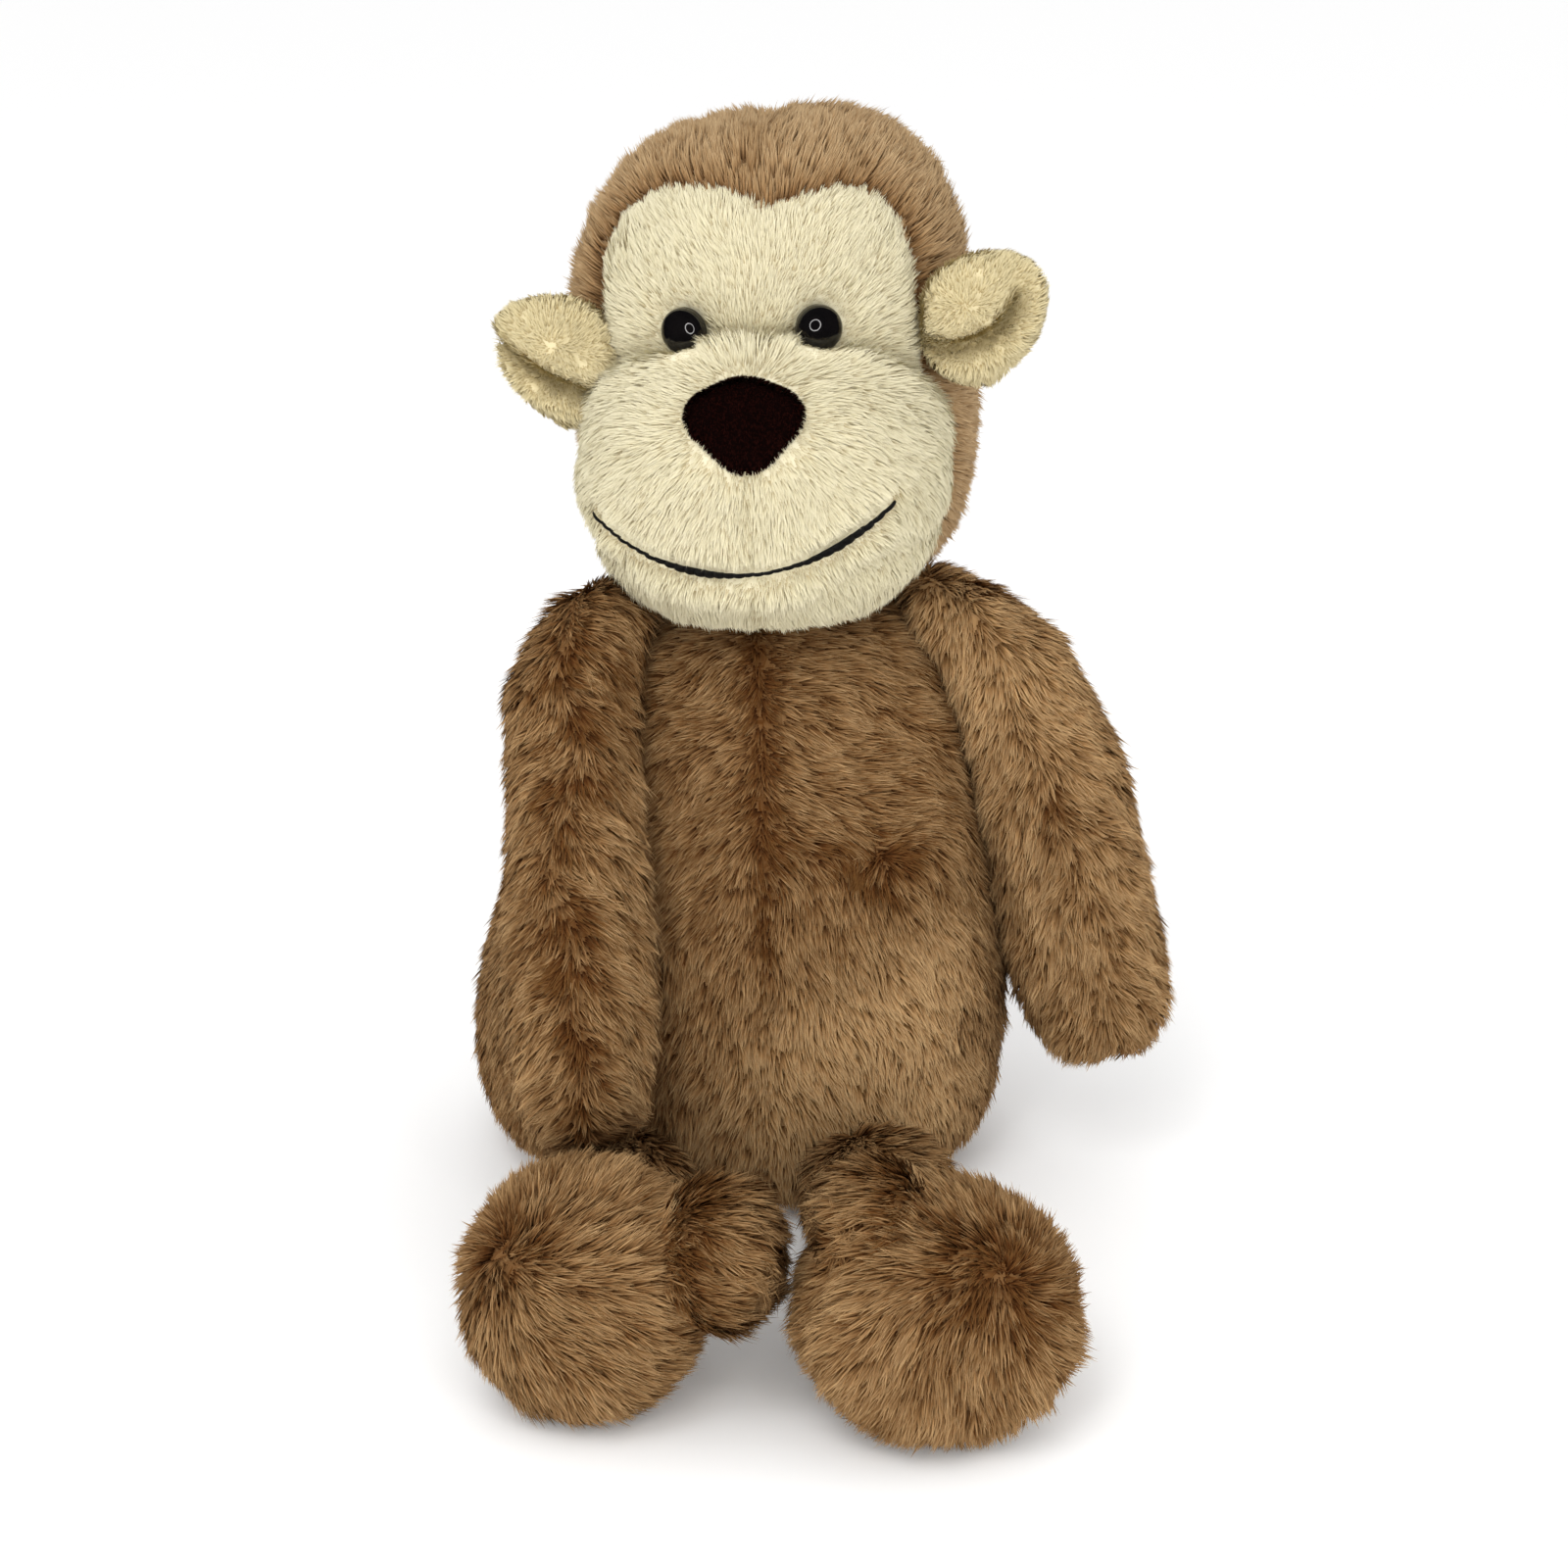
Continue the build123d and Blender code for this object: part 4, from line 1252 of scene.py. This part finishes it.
def tail_comb(p, n):
    """Along the tail's two bends towards its tip."""
    first = TAIL_ROOT + np.array([-BEND_OUT, 0, 0])
    spoke = np.array([math.cos(BEND_ANGLE), math.sin(BEND_ANGLE), 0])
    joint = first + BEND_OUT * spoke
    second = joint + BEND_BACK * spoke
    ahead = np.array([-math.sin(BEND_ANGLE), math.cos(BEND_ANGLE), 0])
    past = ((p - joint) @ ahead > 0) | (p[:, 0] > joint[0] + 10)
    return np.where(past[:, None], np.cross(unit(p - second), UP), np.cross(UP, unit(p - first)))


dress("tail", ["tail_skin"], "brown_plush", TAIL_COAT, tail_comb, plain_look)


# --- nose
NOSE_SEED = 77
NOSE_SHORTER = 0.11             # how far its lower edge is lifted, as a share of its height
NOSE_TAPER, NOSE_TIP_X = 0.22, 1.2


def nose_skin():
    """The nose as a skin with no seams, higher at its lower edge and narrower at its tip."""
    form = even_form("nose_form", ["nose"], 0.6, rounds=6)
    skin = Skin(form)
    bpy.data.objects.remove(form)
    x, y, z = to_head(skin.points).T
    lift = NOSE_SHORTER * (z.max() - z)
    aside = (x - NOSE_TIP_X) * NOSE_TAPER * rise(lift, 0.7, 1.9)
    skin.points = skin.points + from_head(-aside, 0, lift)
    return skin


def add_nose():
    """The padded nose, whose pile grows everywhere but on its back."""
    skin = nose_skin()
    faces = np.arange(len(skin.triangles))
    front = (skin.normals[skin.triangles].mean(axis=1) @ from_head(0, -1, 0)) > -0.3
    rng = np.random.default_rng(NOSE_SEED)
    pile = grow(rng, skin, faces[front], NOSE_COAT,
                lambda p, n: from_head(np.full(len(p), 0.15), 0, -1), plain_look)
    mesh = furry_mesh("velvet_nose", skin, faces, pile, plain_look, NOSE_COAT)
    nose = add_piece(mesh, PILES["nose_velvet"], "head", "nose")


# --- the smile
MOUTH_SEED = 5
THICK_STITCHES = (-11, 15)      # where the smile's thread is doubled
THREAD_RADIUS, DOUBLED_RADIUS, DOUBLED_WIDTH = 0.38, 0.5, 6.5
STITCH_REACH, STITCH_STEP = 2.3, 0.74       # a stitch's length, and the share before the next
STITCH_LIFT = 2.6               # from the cloth to the thread, which lies on the trimmed pile
STITCH_SIDES, STITCH_ROWS = 8, 7


def stitch_rings(ends, thick, lift):
    """The points of one arched stitch between two places, ring by ring."""
    (a, normal_a), (b, normal_b) = ends
    points = []
    for row in range(STITCH_ROWS):
        share = row / (STITCH_ROWS - 1)
        arch = math.sin(math.pi * share)
        normal = unit(normal_a * (1 - share) + normal_b * share)
        middle = a * (1 - share) + b * share + normal * (lift * (0.82 + 0.18 * arch))
        across = unit(np.cross(normal, b - a))
        size = thick * (0.6 + 0.4 * arch**0.5)
        for step in range(STITCH_SIDES):
            angle = 2 * math.pi * step / STITCH_SIDES
            beside, over = size * math.cos(angle), 0.7 * size * math.sin(angle)
            points.append(middle + across * beside + normal * over)
    return points


def stitch_faces(base):
    """The sides and the two caps of a stitch whose points start at a number."""
    rings = base + np.arange(STITCH_ROWS * STITCH_SIDES).reshape(STITCH_ROWS, STITCH_SIDES)
    after = np.roll(rings, -1, axis=1)
    sides = np.stack([rings[:-1], after[:-1], after[1:], rings[1:]], axis=-1).reshape(-1, 4)
    return sides, np.stack([rings[0, ::-1], rings[-1]])


def add_mouth():
    """Separate overlapping stitches along the smile, laid on the cloth."""
    tree = tree_of(skins["head"].points, skins["head"].triangles)
    rng = np.random.default_rng(MOUTH_SEED)
    inward = Vector(from_head(0, 1, 0))

    def on_cloth(x, z):
        start = Vector(NECK + from_head(x, -80, z))
        hit = np.array(tree.ray_cast(start, inward)[0])
        local = to_head(hit)
        return hit, from_head(*unit(vectors(local[0], local[1] - LIPS_Y, 0.3 * (z - LIPS_Z))))

    points, sides, caps = [], [], []
    x = MOUTH_CENTRE_X - MOUTH_HALF
    while x < MOUTH_CENTRE_X + MOUTH_HALF - 1.5:
        doubled = sum(DOUBLED_RADIUS * math.exp(-(((x - place) / DOUBLED_WIDTH) ** 2))
                      for place in THICK_STITCHES)
        reach = STITCH_REACH + rng.uniform(-0.2, 0.3)
        ends = [on_cloth(place, float(mouth_height(place)) + rng.uniform(-0.06, 0.06))
                for place in (x, x + reach)]
        lift = STITCH_LIFT + rng.uniform(-0.1, 0.1)
        stitch_sides, stitch_caps = stitch_faces(len(points))
        points += stitch_rings(ends, THREAD_RADIUS + doubled, lift)
        sides.append(stitch_sides)
        caps.append(stitch_caps)
        x += reach * STITCH_STEP
    faces = [np.concatenate(sides), np.concatenate(caps)]
    mesh = mesh_from("mouth_stitches", np.array(points), faces)
    thread = patterned("black_thread_twist", add_twist, (4, 4, 4), (24, 23, 23), 0.5, 0.0001)
    add_piece(mesh, thread, "head", "mouth_stitching")


# --- stuffing, pellets, eyes and washers
EYE_COLOURS = (4.942, 4.942, 6.589), (17.892, 15.557, 15.557)


def paint(name, material):
    """Give a carried-over node its material."""
    for slot in nodes[name].material_slots:
        slot.material = material


def add_arm_fill(side, fill):
    """An arm's stuffing in the shape of its bent skin."""
    points, triangles = node_arrays([f"arm_stuffing_{side}"])
    mesh = mesh_from(f"fill_arm_{side}", shape_arm(side, points), [triangles])
    add_piece(mesh, fill, f"arm_{side}", f"arm_stuffing_{side}")


def paint_nodes():
    soft = add_noise(Scale=260, Detail=8, Distortion=1.2)
    fill = patterned("fibre_fill", soft, (214, 214, 210), (250, 250, 248), 0.9, 0.0008)
    lining = patterned("lining_weave", add_weave, (188, 182, 168), (232, 228, 216), 0.85, 0.0002)
    # The pellets darken towards the gaps between them: painted shade.
    pellets = patterned("packed_pellets", add_cells, (236, 236, 232), (150, 150, 146), 0.35, -0.001)
    thread = patterned("brown_thread_twist", add_twist, (60, 40, 24), (110, 82, 54), 0.7, 0.0001)
    black, sheen = EYE_COLOURS
    eye = patterned("eye_gloss", add_noise(Scale=300), black, sheen, 0.05)
    moulded = add_noise(Scale=120)
    washer = patterned("washer_plastic_white", moulded, (222, 222, 218), (240, 240, 236), 0.4)
    for name in nodes:
        if "stuffing" in name and not name.startswith("arm"):
            paint(name, fill)
    paint("pellet_bag", lining)
    paint("pellet_fill", pellets)
    paint("neck_thread", thread)
    for side in SIDES:
        add_arm_fill(side, fill)
        paint(f"eye_{side}", eye)
        paint(f"eye_washer_{side}", washer)


add_nose()
add_mouth()
paint_nodes()
